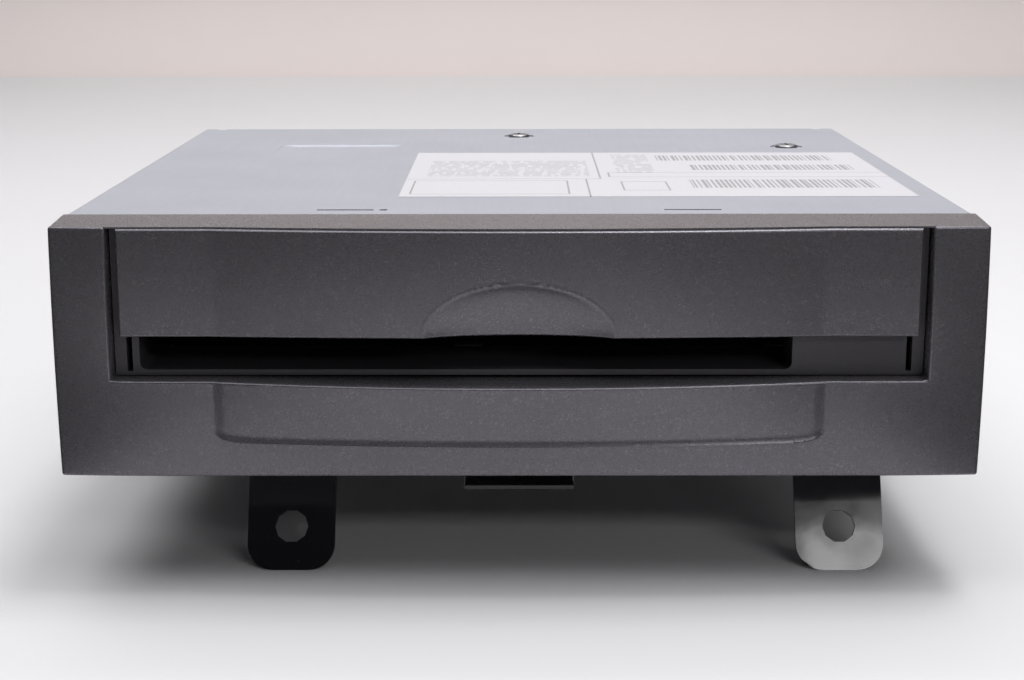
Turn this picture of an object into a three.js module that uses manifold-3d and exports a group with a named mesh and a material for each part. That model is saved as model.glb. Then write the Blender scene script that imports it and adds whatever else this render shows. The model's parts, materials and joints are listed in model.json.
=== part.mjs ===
// Car navigation disc reader: a slot-loading disc drive in a one-DIN steel case
// behind a moulded bezel with a sliding slot door, on two mounting brackets.
// Millimetres. X to the right, Y from the front to the back, Z up from the table.
import * as THREE from 'three';
import { mergeVertices } from 'three/addons/utils/BufferGeometryUtils.js';
import Module from 'manifold-3d';

// Disc and the slot that takes it
const discDiameter = 120;
const discThickness = 1.2;
const slotPlay = 3;
const slotOffset = -10.3;
const slotMargin = 4.9;
const slotSill = 1.3;
const slotHeight = 8;
const throatWall = 1.4;
const throatDepth = 9.5;
const feltThickness = 0.6;
const feltGap = 4.3;

// Bezel
const bezelDepth = 17;
const bezelWall = 2.4;
const bezelDraft = 1.25;
const faceCrown = 1;
const pillarWidth = 10.8;
const ledgeDrop = 29.6;
const ledgeSag = 0.8;
const bulgeInset = 19.4;
const bulgeAtTop = 2.9;
const bulgeAtLedge = 2.3;
const chinDrop = 40.4;
const chinSag = 2.2;
const chinHeight = 2.2;
const cornerRadius = 0.8;
const clipLength = 7;
const clipHeight = 9;
const clipThickness = 1.4;
const ribThickness = 1.2;

// Door and the fascia behind it
const doorHeight = 21;
const doorWall = 2.3;
const doorGroove = 2;
const scoopHalfWidth = 18.2;
const scoopHeight = 10.5;
const scoopDepth = 4;
const lugThickness = 0.6;
const lugFit = 0.25;
const lugInset = 1;
const fasciaSetback = 3.3;
const fasciaWall = 2.2;
const fasciaTopDepth = 3.9;
const fasciaFit = 0.4;

// Case
const sheet = 0.8;
const caseDrop = 1.2;
const coverDrop = 0.3;
const skirtHeight = 13;
const panFit = 0.2;
const rearRoom = 17.9;
const frontLipHeight = 13;

// Cover
const padSize = [33.5, 26.5];
const padLeftInset = 44.25;
const padRearInset = 56.7;
const padRise = 0.6;
const slitSize = [11.5, 0.9];
const slitInset = 6.7;
const slitSpread = 35;
const pinholeX = -27.3;
const pinholeRadius = 0.9;
const rearSeatInset = 18.5;
const sideSeatInset = 20.25;
const sideSeatRearInset = 44.5;
const seatRadius = 4.2;
const seatSink = 0.4;
const collarHeight = 1.6;
const notchInset = 5.2;
const notchWidth = 2.5;
const notchDepth = 1.5;
const labelPadGap = 3.75;
const labelSideInset = 5.75;
const labelFrontInset = 24.6;
const labelRearInset = 58.6;
const labelThickness = 0.1;

// Screws
const shankRadius = 1.4;
const shankLength = 3.6;
const screwFit = 0.25;
const headRadius = 2.9;
const headHeight = 1.7;
const sideScrewInset = 25;
const sideScrewDrop = 8;

// Pan
const standRadius = 3;
const standInset = 9.2;
const ventCount = 7;
const ventSize = [30, 2.4];
const ventWeb = 8;
const ventPitch = 6;
const ventSetback = 52;
const mountHoleRadius = 2.4;
const mountHoleRise = 18;
const mountHoleInset = 50.6;

// Mounting brackets
const footDrop = 24.4;
const bracketSheet = 1;
const bracketLeftInset = 42.35;
const bracketRightInset = 23.45;
const bracketScrewInset = 26;
const tabWidth = 18;
const tabTilt = 25;
const tabCornerRadius = 5.5;
const tabHoleRadius = 3.4;
const tabHoleHeight = 8.2;
const tabFootY = 14;
const railWidth = 14;
const rearTabInset = 10.5;
const hookHalfWidth = 11.3;
const hookReach = 9.4;
const hookDepth = 8;

// Rear connectors
const powerInset = 34.25;
const powerSize = [32, 13];
const powerContacts = [5, 2];
const dataX = 0;
const dataSize = [24, 11];
const dataContacts = [6, 2];
const antennaInset = 41.25;
const antennaRadius = 5;
const antennaBore = 3;
const socketWall = 1.5;
const socketDepth = 10;
const socketInset = 15;
const socketReach = 2.5;
const pinLength = 3;
const pinSize = 0.8;
const windowFit = 0.4;
const earDepth = 8;

// Deck
const deckSideRoom = 4;
const deckSheet = 1;
const lipRoom = 0.5;
const deckRoom = 5.9;
const discRearRoom = 10.6;
const damperRadius = 5;
const damperWaist = 1.5;
const damperInset = 8;
const damperSetback = 15.4;
const bridgeDepth = 11;
const pivotInset = 4.6;
const pivotRadius = 1.2;
const pivotHalf = 30;
const earThickness = 2;
const guideLength = 44;
const guideThickness = 1.2;
const guideRise = 2.6;
const guideRibs = 9;

// Loading mechanism
const rollerSetback = 6.4;
const rollerRadius = 3.6;
const rollerTaper = 0.5;
const rollerBreak = 6;
const rollerEndGap = 3;
const shaftRadius = 1.5;
const rollerFit = 0.2;
const shaftFit = 0.05;
const gearModule = 0.6;
const rollerTeeth = 22;
const idlerTeeth = 30;
const gearWidth = 3;
const gearBacklash = 0.12;
const gearSetback = 8.3;
const idlerRise = 8.8;
const motorRadius = 6.8;
const motorLength = 20;
const motorSetback = 9;
const motorBoss = 3.4;
const wormRadius = 2.4;
const wormLength = 9;

// Spindle and clamp
const loadedRoom = 1.4;
const spindleMotorRadius = 12;
const spindleMotorHeight = 6.4;
const spindleFlange = 2;
const spindleShaftRadius = 1.5;
const tableStand = 2.7;
const tableThickness = 1.8;
const turntableRadius = 14;
const hubRadius = 7.3;
const hubHeight = 1.4;
const clampRadius = 12;
const clampButtonRadius = 8;
const clampNeckRadius = 5.6;
const clampFit = 0.6;
const clampFlange = 2.6;
const armThickness = 1.2;
const armRingRadius = 13;
const armWindowRadius = 7.8;
const armDrop = 1.6;
const sleeveWidth = 5;
const pinFit = 0.08;

// Optical traverse
const sledWidth = 32;
const sledDepth = 20;
const sledHeight = 5;
const sledRest = 24;
const rimMargin = 6;
const crossDepth = 10;
const rodRadius = 1.5;
const rodStand = 3;
const rodSpacing = 50;
const rodLead = 6;
const postSize = 5;
const rackDepth = 2;
const rackReach = 34;
const lensRadius = 3;
const lensRise = 1;
const lensWell = 1.6;
const lensDome = 0.5;
const pinionTeeth = 16;
const feedMotorRadius = 7;
const feedFlangeRadius = 9;
const feedFlangeHeight = 1.6;
const feedMotorDrop = 4;
const feedShaftRadius = 1;

// Boards
const boardThickness = 1.6;
const boardStand = 2.6;
const boardSideRoom = 4.45;
const boardSetback = 12.7;
const chipHeight = 1.8;
const chipShares = [
  [-0.36, 0.28, 20, 20],
  [0.12, 0.22, 14, 14],
  [0.26, 0.56, 24, 10],
  [-0.21, 0.67, 12, 18],
  [-0.74, 0.42, 18, 12],
  [0.48, 0.37, 16, 12],
];
const sideBoardRoom = 10.25;
const sideBoardInset = 35;
const sideBoardHeight = 30;
const sideChipSize = 12;
const sideChipShares = [0.2, 0.55];
const headerHeight = 3.4;
const headerWidth = 5;
const headerLength = 50;

// Shared clearances
const seatGap = 0.3;
const overrun = 2;

const wasm = await Module();
wasm.setup();

// A closed geometry as a manifold solid.
function toSolid(geometry) {
  const plain = geometry.index ? geometry.toNonIndexed() : geometry.clone();
  plain.deleteAttribute('normal');
  plain.deleteAttribute('uv');
  const merged = mergeVertices(plain, 1e-4);
  const mesh = new wasm.Mesh({
    numProp: 3,
    vertProperties: merged.attributes.position.array,
    triVerts: new Uint32Array(merged.index.array),
  });
  return new wasm.Manifold(mesh);
}

// A manifold solid as a flat-shaded geometry.
function toGeometry(solid) {
  const mesh = solid.getMesh();
  const geometry = new THREE.BufferGeometry();
  geometry.setAttribute('position', new THREE.BufferAttribute(mesh.vertProperties, mesh.numProp));
  geometry.setIndex(new THREE.BufferAttribute(mesh.triVerts, 1));
  const flat = geometry.toNonIndexed();
  flat.computeVertexNormals();
  return flat;
}

function join(...solids) {
  return solids.flat().reduce((whole, next) => whole.add(next));
}

function cut(body, ...tools) {
  return tools.flat().reduce((rest, tool) => rest.subtract(tool), body);
}

// The matrix that turns a shape drawn in X and Y onto the plane square to an axis.
// Across X the shape reads (y, z), across Y it reads (x, z), and across Z it reads (x, y).
function planeMatrix(axis) {
  const x = new THREE.Vector3(1, 0, 0);
  const y = new THREE.Vector3(0, 1, 0);
  const z = new THREE.Vector3(0, 0, 1);
  if (axis === 'x') return new THREE.Matrix4().makeBasis(y, z, x);
  if (axis === 'y') return new THREE.Matrix4().makeBasis(x, z, y.clone().negate());
  return new THREE.Matrix4();
}

// A shape pushed along an axis between two places on it.
function extrusion(shape, axis, from, to, curveSegments = 6) {
  const geometry = new THREE.ExtrudeGeometry(shape, { depth: to - from, bevelEnabled: false, curveSegments });
  geometry.applyMatrix4(planeMatrix(axis));
  if (axis === 'x') geometry.translate(from, 0, 0);
  if (axis === 'y') geometry.translate(0, to, 0);
  if (axis === 'z') geometry.translate(0, 0, from);
  return geometry;
}

function prism(shape, axis, from, to, curveSegments) {
  return toSolid(extrusion(shape, axis, from, to, curveSegments));
}

function rectangle(x0, x1, y0, y1) {
  return new THREE.Shape().moveTo(x0, y0).lineTo(x1, y0).lineTo(x1, y1).lineTo(x0, y1);
}

// A rectangle with round corners.
function roundedRectangle(x0, x1, y0, y1, radius) {
  const shape = new THREE.Shape();
  shape.absarc(x1 - radius, y0 + radius, radius, -Math.PI / 2, 0);
  shape.absarc(x1 - radius, y1 - radius, radius, 0, Math.PI / 2);
  shape.absarc(x0 + radius, y1 - radius, radius, Math.PI / 2, Math.PI);
  shape.absarc(x0 + radius, y0 + radius, radius, Math.PI, 1.5 * Math.PI);
  return shape;
}

function block(x0, x1, y0, y1, z0, z1) {
  return prism(rectangle(x0, x1, y0, y1), 'z', z0, z1);
}

// A round bar along an axis, its centre given by the two other coordinates in order.
function bar(axis, radius, from, to, first, second, sides = 20) {
  return turned(axis, [[0, from], [radius, from], [radius, to], [0, to]], first, second, sides);
}

// A profile of [radius, place along the axis] points turned about that axis.
function turned(axis, profile, first, second, sides = 20) {
  const points = profile.map(([radius, along]) => new THREE.Vector2(radius, along));
  const geometry = new THREE.LatheGeometry(points, sides);
  if (axis === 'x') geometry.rotateZ(-Math.PI / 2).translate(0, first, second);
  if (axis === 'y') geometry.translate(first, 0, second);
  if (axis === 'z') geometry.rotateX(Math.PI / 2).translate(first, second, 0);
  return toSolid(geometry);
}

const degrees = (angle) => (angle * Math.PI) / 180;

// Widths: the disc sets the slot, the slot the bezel's opening, and that the face and the case
const slotWidth = discDiameter + 2 * slotPlay;
const slotX0 = slotOffset - slotWidth / 2;
const slotX1 = slotOffset + slotWidth / 2;
const openHalfWidth = slotWidth / 2 + Math.abs(slotOffset) + slotMargin;
const bulgeHalfWidth = openHalfWidth - bulgeInset;
const halfFace = openHalfWidth + pillarWidth;
const halfCase = halfFace + bezelDraft;
const panHalfWidth = halfCase - sheet - panFit;
const bracketLeftX = bracketLeftInset - panHalfWidth;
const bracketRightX = panHalfWidth - bracketRightInset;

// Heights: the foot carries the case, the deck stands over the board, and the disc on the deck
const caseBottomZ = footDrop + caseDrop;
const panFloorZ = caseBottomZ + sheet;
const boardTopZ = panFloorZ + boardStand + boardThickness;
const deckFloorZ = boardTopZ + deckRoom;
const deckTopZ = deckFloorZ + deckSheet;
const spindleTopZ = deckTopZ + spindleMotorHeight;
const discFloorZ = spindleTopZ + tableStand + tableThickness;
const discZ = discFloorZ + discThickness / 2;
const slotZ0 = discZ - slotHeight / 2;
const slotZ1 = discZ + slotHeight / 2;
const ledgeZ = slotZ0 - slotSill;
const topZ = ledgeZ + ledgeDrop;
const coverZ = topZ - coverDrop;
const bezelHeight = topZ - footDrop;
const doorZ = topZ - doorHeight;
const doorTravel = ledgeDrop - doorHeight - panFit;
const clampFloorZ = discFloorZ + discThickness + seatGap;
const armPlateZ = clampFloorZ + clampFlange + clampFit;
const wallTopZ = armPlateZ - armDrop;
const pivotZ = armPlateZ + 2 * armThickness;

// Depths: the disc sets the deck, and the deck the case
const caseFrontY = bezelDepth + seatGap;
const deckFrontY = caseFrontY + sheet + lipRoom;
const rollerY = deckFrontY + rollerSetback;
const spindleY = rollerY + rollerRadius + loadedRoom + discDiameter / 2;
const deckY1 = spindleY + discDiameter / 2 + discRearRoom;
const caseDepth = deckY1 + rearRoom;
const rearY = caseDepth - sheet;

// How far the middle bulge stands out at a place across the face: a shallow arc.
function bulgeShare(x) {
  return Math.max(0, 1 - (x / bulgeHalfWidth) ** 2);
}

// The front surface. It is crowned from top to bottom, and the bulge ends in a chin below.
function faceY(x, z) {
  const middleZ = footDrop + bezelHeight / 2;
  const crown = faceCrown * (1 - ((z - middleZ) / (bezelHeight / 2)) ** 2);
  const share = bulgeShare(x);
  const chinFootZ = topZ - chinDrop - chinSag * share;
  const rise = THREE.MathUtils.clamp((z - chinFootZ) / (chinHeight * share + seatGap), 0, 1);
  const depth = THREE.MathUtils.lerp(bulgeAtLedge, bulgeAtTop, (z - ledgeZ) / ledgeDrop);
  return -crown - depth * share * Math.sqrt(rise);
}

// A slab with a flat back whose front follows a surface given as y over (x, z).
function curvedSlab(xs, zs, backY, frontY) {
  const columns = xs.length;
  const rows = zs.length;
  const positions = [];
  for (const back of [false, true]) {
    for (const z of zs) {
      for (const x of xs) positions.push(x, back ? backY : frontY(x, z), z);
    }
  }
  const indices = [];
  const quad = (a, b, c, d) => indices.push(a, b, c, a, c, d);
  const at = (column, row, back) => back * columns * rows + row * columns + column;
  for (let row = 0; row < rows - 1; row += 1) {
    for (let column = 0; column < columns - 1; column += 1) {
      quad(at(column, row, 0), at(column + 1, row, 0), at(column + 1, row + 1, 0), at(column, row + 1, 0));
      quad(at(column, row, 1), at(column, row + 1, 1), at(column + 1, row + 1, 1), at(column + 1, row, 1));
    }
  }
  for (let column = 0; column < columns - 1; column += 1) {
    const top = rows - 1;
    quad(at(column, 0, 1), at(column + 1, 0, 1), at(column + 1, 0, 0), at(column, 0, 0));
    quad(at(column, top, 0), at(column + 1, top, 0), at(column + 1, top, 1), at(column, top, 1));
  }
  for (let row = 0; row < rows - 1; row += 1) {
    const right = columns - 1;
    quad(at(0, row, 0), at(0, row + 1, 0), at(0, row + 1, 1), at(0, row, 1));
    quad(at(right, row, 0), at(right, row, 1), at(right, row + 1, 1), at(right, row + 1, 0));
  }
  const geometry = new THREE.BufferGeometry();
  geometry.setAttribute('position', new THREE.Float32BufferAttribute(positions, 3));
  geometry.setIndex(indices);
  return toSolid(geometry);
}

// Even steps from one value to another.
function steps(from, to, count) {
  return Array.from({ length: count + 1 }, (unused, index) => from + ((to - from) * index) / count);
}

// Columns across the face, closest together over the bulge.
function faceColumns(halfWidth) {
  return [-halfWidth, ...steps(-bulgeHalfWidth, bulgeHalfWidth, 16), halfWidth];
}

// The two ends of a piece on one side of the middle, in order.
function sidewards(side, near, far) {
  return [side * near, side * far].sort((a, b) => a - b);
}

// The bezel: a shell with two pillars, a ledge under the open bay, ribs, and clips behind.
function frontBezel() {
  const proud = faceCrown + bulgeAtTop;
  const innerHalf = halfFace - bezelWall;
  const backY = bezelDepth - bezelWall;
  const plan = new THREE.Shape();
  plan.moveTo(-halfFace, -proud).lineTo(halfFace, -proud).lineTo(halfFace, 0);
  plan.lineTo(halfCase, bezelDepth).lineTo(-halfCase, bezelDepth).lineTo(-halfFace, 0);
  const side = roundedRectangle(-halfCase, halfCase, footDrop, topZ, cornerRadius);
  const chinLowZ = topZ - chinDrop - chinSag;
  const chinTopZ = topZ - chinDrop + chinHeight;
  const rows = [
    ...steps(footDrop - overrun, chinLowZ, 2),
    ...steps(chinLowZ, chinTopZ, 8).slice(1),
    ...steps(chinTopZ, topZ + overrun, 6).slice(1),
  ];
  const front = curvedSlab(faceColumns(halfCase + overrun), rows, bezelDepth, faceY);
  const shell = prism(plan, 'z', footDrop, topZ).intersect(prism(side, 'y', -proud,
    bezelDepth)).intersect(front);
  const hollow = block(-innerHalf, innerHalf, bezelWall, bezelDepth + overrun, footDrop + bezelWall,
    topZ - bezelWall);
  const bay = block(-openHalfWidth, openHalfWidth, -proud - overrun,
    fasciaSetback + fasciaTopDepth + fasciaFit, ledgeZ, topZ + overrun);
  const ledge = block(-innerHalf, innerHalf, 0, backY, ledgeZ - bezelWall, ledgeZ);
  // The ledge's front edge sags where the bulge carries it forward.
  const sag = new THREE.Shape().moveTo(-bulgeHalfWidth, ledgeZ);
  for (const x of steps(-bulgeHalfWidth, bulgeHalfWidth, 16)) sag.lineTo(x,
    ledgeZ - ledgeSag * bulgeShare(x));
  sag.lineTo(bulgeHalfWidth, ledgeZ + overrun).lineTo(-bulgeHalfWidth, ledgeZ + overrun);
  const lip = prism(sag, 'y', -proud - overrun, -faceCrown);
  // Clips that hook inside the walls of the case.
  const clipX = panHalfWidth - sheet - seatGap;
  const clips = [-1, 1].flatMap((sign) => [footDrop + clipHeight, topZ - 2 * clipHeight].map((z) => {
    const [x0, x1] = sidewards(sign, clipX, clipX - clipThickness);
    return block(x0, x1, backY - bezelWall, bezelDepth + clipLength, z, z + clipHeight);
  }));
  // Stiffening ribs inside the lower wall.
  const ribs = steps(-halfFace / 2, halfFace / 2, 4).map((x) => block(x - ribThickness / 2,
    x + ribThickness / 2,
    bezelWall / 2, bezelDepth / 2, footDrop + bezelWall / 2, ledgeZ - bezelWall / 2));
  // The pillars' inner walls, beside the bay.
  const walls = [-1, 1].map((sign) => {
    const [x0, x1] = sidewards(sign, openHalfWidth, openHalfWidth + clipThickness);
    return block(x0, x1, bezelWall / 2, backY, ledgeZ - bezelWall / 2, topZ - bezelWall / 2);
  });
  return join(cut(join(cut(shell, hollow), ledge, ribs, walls), bay, lip), clips);
}

// The sliding door: a bowed panel with a thumb scoop and two rear lugs.
function slotDoor() {
  const half = openHalfWidth - doorGroove;
  const topEdgeZ = topZ - seatGap;
  const panel = curvedSlab(faceColumns(half), steps(doorZ, topEdgeZ, 6), doorWall, faceY);
  // The scoop is the end of a ball that stands in front of the face by half its depth.
  const ballDepth = scoopDepth * 2;
  const widen = 1 / Math.sqrt(1 - (scoopDepth / ballDepth) ** 2);
  const ball = new THREE.SphereGeometry(1, 36, 18);
  ball.scale(scoopHalfWidth * widen, ballDepth, scoopHeight * widen);
  ball.translate(0, faceY(0, doorZ) - scoopDepth, doorZ);
  const lugX = half - lugInset;
  const lugs = [-1, 1].map((side) => block(side * lugX - lugThickness / 2, side * lugX + lugThickness / 2,
    doorWall - seatGap, fasciaSetback + fasciaWall + seatGap, doorZ + lugInset, topEdgeZ - lugInset));
  return join(cut(panel, toSolid(ball)), lugs);
}

// The plate behind the door, with the disc slot and its throat and the door's two tracks.
function slotFascia() {
  const half = openHalfWidth - panFit;
  const z0 = ledgeZ + panFit;
  const z1 = topZ - seatGap;
  const y0 = fasciaSetback;
  const y1 = fasciaSetback + fasciaWall;
  const plate = block(-half, half, y0, y1, z0, z1);
  const topRib = block(-half, half, y0, y0 + fasciaTopDepth, z1 - fasciaWall, z1);
  const slot = roundedRectangle(slotX0, slotX1, slotZ0, slotZ1, throatWall);
  const rim = roundedRectangle(slotX0 - throatWall, slotX1 + throatWall, slotZ0 - throatWall + seatGap,
    slotZ1 + throatWall, throatWall);
  const tracks = [-1, 1].map((side) => {
    const x = side * (openHalfWidth - doorGroove - lugInset);
    const reach = lugThickness / 2 + lugFit;
    return block(x - reach, x + reach, y0 - overrun, y1 + overrun,
      doorZ - doorTravel + lugInset - lugFit, z1 - lugInset + lugFit);
  });
  const body = join(plate, topRib, prism(rim, 'y', y0 + seatGap, y1 + throatDepth));
  return cut(body, prism(slot, 'y', y0 - overrun, y1 + throatDepth + overrun), tracks);
}

// One of the two felt strips that close the throat around the disc.
function feltStrip(upper) {
  const y0 = fasciaSetback + fasciaWall + throatDepth;
  const x0 = slotX0 - throatWall;
  const x1 = slotX1 + throatWall;
  const z0 = upper ? discZ + feltGap / 2 : slotZ0 - throatWall;
  const z1 = upper ? slotZ1 + throatWall : discZ - feltGap / 2;
  return block(x0, x1, y0, y0 + feltThickness, z0, z1);
}

// Places on the cover
const padX = padLeftInset - halfCase;
const padY = caseDepth - padRearInset;
const screwSeats = [[0, caseDepth - rearSeatInset], [halfCase - sideSeatInset,
  caseDepth - sideSeatRearInset]];
const sideScrewPlaces = [caseFrontY + sideScrewInset, caseDepth - sideScrewInset];

// The folded steel cover, with its pressed pad, slits, screw seats and rear notches.
function topCover() {
  const profile = new THREE.Shape().moveTo(-halfCase, coverZ - skirtHeight).lineTo(-halfCase, coverZ - sheet);
  profile.lineTo(-halfCase + sheet, coverZ).lineTo(halfCase - sheet, coverZ).lineTo(halfCase, coverZ - sheet);
  profile.lineTo(halfCase, coverZ - skirtHeight).lineTo(halfCase - sheet, coverZ - skirtHeight);
  profile.lineTo(halfCase - sheet, coverZ - sheet).lineTo(-halfCase + sheet, coverZ - sheet);
  profile.lineTo(-halfCase + sheet, coverZ - skirtHeight);
  const [padWidth, padDepth] = padSize;
  const padShape = roundedRectangle(padX - padWidth / 2, padX + padWidth / 2, padY - padDepth / 2,
    padY + padDepth / 2, seatSink + padRise);
  const pad = prism(padShape, 'z', coverZ - sheet / 2, coverZ + padRise, 3);
  const [slitLength, slitWidth] = slitSize;
  const slitY = caseFrontY + slitInset;
  const slits = [-slitSpread, slitSpread].map((x) => block(x - slitLength / 2, x + slitLength / 2,
    slitY - slitWidth / 2, slitY + slitWidth / 2, coverZ - overrun, coverZ + overrun));
  const pinhole = bar('z', pinholeRadius, coverZ - overrun, coverZ + overrun, pinholeX, slitY, 10);
  const collars = screwSeats.map(([x, y]) => bar('z', seatRadius + sheet, coverZ - sheet - collarHeight,
    coverZ - sheet / 2, x, y, 16));
  const seats = screwSeats.map(([x, y]) => bar('z', seatRadius, coverZ - seatSink, coverZ + overrun, x, y,
    16));
  const holes = screwSeats.map(([x, y]) => bar('z', shankRadius + screwFit, coverZ - collarHeight - overrun,
    coverZ + overrun, x, y, 10));
  const notches = [-1, 1].map((side) => {
    const x = side * (halfCase - notchInset);
    return block(x - notchWidth / 2, x + notchWidth / 2, caseDepth - notchDepth, caseDepth + overrun,
      coverZ - overrun, coverZ + overrun);
  });
  const body = join(prism(profile, 'y', caseFrontY, caseDepth), pad, collars);
  return cut(body, seats, holes, slits, pinhole, notches, sideHoles());
}

// Cuts for the screws that go in through the cover's skirts and the pan's walls.
function sideHoles() {
  return sideScrewPlaces.flatMap((y) => [-1, 1].map((side) => {
    const [x0, x1] = sidewards(side, panHalfWidth - overrun, halfCase + overrun);
    return bar('x', shankRadius + screwFit, x0, x1, y, coverZ - sideScrewDrop, 10);
  }));
}

// A pan-head screw, its head's underside at seat and its shank running back from it.
function screw(axis, sign, seat, first, second) {
  const profile = [
    [0, seat - sign * shankLength],
    [shankRadius, seat - sign * shankLength],
    [shankRadius, seat],
    [headRadius, seat],
    [headRadius, seat + (sign * headHeight) / 2],
    [(headRadius + shankRadius) / 2, seat + sign * headHeight],
    [0, seat + sign * headHeight],
  ];
  if (sign < 0) profile.reverse();
  return turned(axis, profile, first, second, 10);
}

// The plain paper label on the cover.
function coverLabel() {
  const x0 = padX + padSize[0] / 2 + labelPadGap;
  return block(x0, halfCase - labelSideInset, caseFrontY + labelFrontInset, caseDepth - labelRearInset,
    coverZ, coverZ + labelThickness);
}

// The pan: floor, side walls and a front lip, with board stands, vents and side holes.
function chassisPan() {
  const half = panHalfWidth;
  const inner = half - sheet;
  const wallTop = coverZ - sheet - panFit;
  const profile = new THREE.Shape().moveTo(-half, wallTop).lineTo(-half, panFloorZ);
  profile.lineTo(-inner, caseBottomZ).lineTo(inner, caseBottomZ).lineTo(half, panFloorZ);
  profile.lineTo(half, wallTop).lineTo(inner, wallTop).lineTo(inner, panFloorZ);
  profile.lineTo(-inner, panFloorZ).lineTo(-inner, wallTop);
  const lipHalf = inner - seatGap - 2 * sheet;
  const lip = block(-lipHalf, lipHalf, caseFrontY, caseFrontY + sheet, panFloorZ - sheet / 2,
    panFloorZ + frontLipHeight);
  const stands = [-1, 1].flatMap((side) => [caseFrontY + 2 * standInset, caseDepth - standInset].map((y) => (
    bar('z', standRadius, panFloorZ - sheet / 2, panFloorZ + boardStand, side * (half - standInset), y,
      10))));
  const [ventLength, ventWidth] = ventSize;
  const ventHalf = (ventWeb + ventLength) / 2;
  const vents = [-ventHalf, ventHalf].flatMap((x) => steps(0, ventCount - 1, ventCount - 1).map((index) => {
    const y = caseFrontY + ventSetback + ventPitch * index;
    const slot = roundedRectangle(x - ventLength / 2, x + ventLength / 2, y - ventWidth / 2,
      y + ventWidth / 2,
      (ventWidth - seatGap) / 2);
    return prism(slot, 'z', caseBottomZ - overrun, panFloorZ + overrun, 1);
  }));
  const mountHoles = [caseFrontY + mountHoleInset, caseDepth - mountHoleInset].map((y) => bar('x',
    mountHoleRadius,
    -half - overrun, half + overrun, y, panFloorZ + mountHoleRise, 12));
  const body = join(prism(profile, 'y', caseFrontY, caseDepth), lip, stands);
  return cut(body, vents, mountHoles, sideHoles(), bracketHoles());
}

// The brackets' levels, and the screw holes that the pan's floor and the rails share
const railZ = caseBottomZ - bracketSheet;
const tabLean = degrees(tabTilt);
const railFrontY = tabFootY + railZ * Math.tan(tabLean);
const rearTabY = caseDepth - rearTabInset;
const bracketScrewPlaces = [railFrontY + bracketScrewInset, rearTabY - bracketScrewInset];

function bracketHoles() {
  return [bracketLeftX, bracketRightX].flatMap((x) => bracketScrewPlaces.map((y) => bar('z',
    shankRadius + screwFit, railZ - overrun, panFloorZ + overrun, x, y, 10)));
}

// A mounting bracket: a rail under the pan with a forward-leaning front foot and a rear foot.
function bracket(x) {
  const tab = (height, holeHeight) => {
    const outline = roundedRectangle(x - tabWidth / 2, x + tabWidth / 2, 0, height, tabCornerRadius);
    const hole = new THREE.Path();
    hole.absarc(x, holeHeight, tabHoleRadius, 0, 2 * Math.PI);
    outline.holes.push(hole);
    return extrusion(outline, 'y', 0, bracketSheet, 5);
  };
  const leaning = tab(railZ / Math.cos(tabLean) + overrun, tabHoleHeight / Math.cos(tabLean));
  leaning.rotateX(-tabLean);
  leaning.translate(0, tabFootY, 0);
  const upright = tab(caseBottomZ, tabHoleHeight);
  upright.translate(0, rearTabY - bracketSheet, 0);
  const trims = [[-tabWidth, 0], [caseBottomZ, caseBottomZ + tabWidth]].map(([low, high]) => (
    block(x - tabWidth, x + tabWidth, 0, caseDepth, low, high)));
  const rail = block(x - railWidth / 2, x + railWidth / 2, railFrontY, rearTabY, railZ, caseBottomZ);
  const web = block(x - tabWidth / 2, x + tabWidth / 2, railFrontY, railFrontY + tabWidth / 2, railZ,
    caseBottomZ);
  return cut(join(rail, web, toSolid(upright), cut(toSolid(leaning), trims)), bracketHoles());
}

// The bent hook under the middle of the front.
function frontHook() {
  const y0 = caseFrontY;
  const y1 = y0 + hookDepth;
  const low = caseBottomZ - hookReach;
  const profile = new THREE.Shape().moveTo(y0, low).lineTo(y1, low).lineTo(y1, caseBottomZ - bracketSheet);
  profile.lineTo(y1 + hookDepth, caseBottomZ - bracketSheet).lineTo(y1 + hookDepth, caseBottomZ);
  profile.lineTo(y1 - bracketSheet, caseBottomZ).lineTo(y1 - bracketSheet, low + bracketSheet);
  profile.lineTo(y0, low + bracketSheet);
  return prism(profile, 'x', -hookHalfWidth, hookHalfWidth);
}

// The rear panel, with windows for the connectors on the main board.
const powerX = powerInset - panHalfWidth;
const antennaX = panHalfWidth - antennaInset;

function rearPanel() {
  const half = panHalfWidth - sheet - panFit;
  const top = coverZ - sheet - panFit;
  const plate = block(-half, half, rearY, caseDepth, panFloorZ, top);
  const ears = [-1, 1].map((side) => {
    const [x0, x1] = sidewards(side, half, half - sheet);
    return block(x0, x1, rearY - earDepth, caseDepth, panFloorZ + earDepth, top - skirtHeight);
  });
  const windows = [[powerX, powerSize], [dataX, dataSize]].map(([x, [width, height]]) => block(
    x - width / 2 - windowFit, x + width / 2 + windowFit, rearY - overrun, caseDepth + overrun,
    boardTopZ - windowFit, boardTopZ + height + windowFit));
  const port = bar('y', antennaRadius + windowFit, rearY - overrun, caseDepth + overrun,
    antennaX, boardTopZ + antennaRadius + socketWall);
  return cut(join(plate, ears), windows, port);
}

// A rectangular socket on the board with rows of contacts inside.
function boxSocket(x, [width, height], [columns, rows]) {
  const y0 = rearY - socketInset;
  const y1 = caseDepth + socketReach;
  const shell = block(x - width / 2, x + width / 2, y0, y1, boardTopZ, boardTopZ + height);
  const hollow = block(x - width / 2 + socketWall, x + width / 2 - socketWall, y1 - socketDepth, y1 + overrun,
    boardTopZ + socketWall, boardTopZ + height - socketWall);
  const pins = steps(-width / 2 + 2 * socketWall, width / 2 - 2 * socketWall,
    columns - 1).flatMap((across) => (
    steps(2 * socketWall, height - 2 * socketWall, rows - 1).map((up) => block(x + across - pinSize / 2,
      x + across + pinSize / 2, y1 - socketDepth - seatGap, y1 - socketDepth + pinLength,
      boardTopZ + up - pinSize / 2, boardTopZ + up + pinSize / 2))));
  return join(cut(shell, hollow), pins);
}

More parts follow.
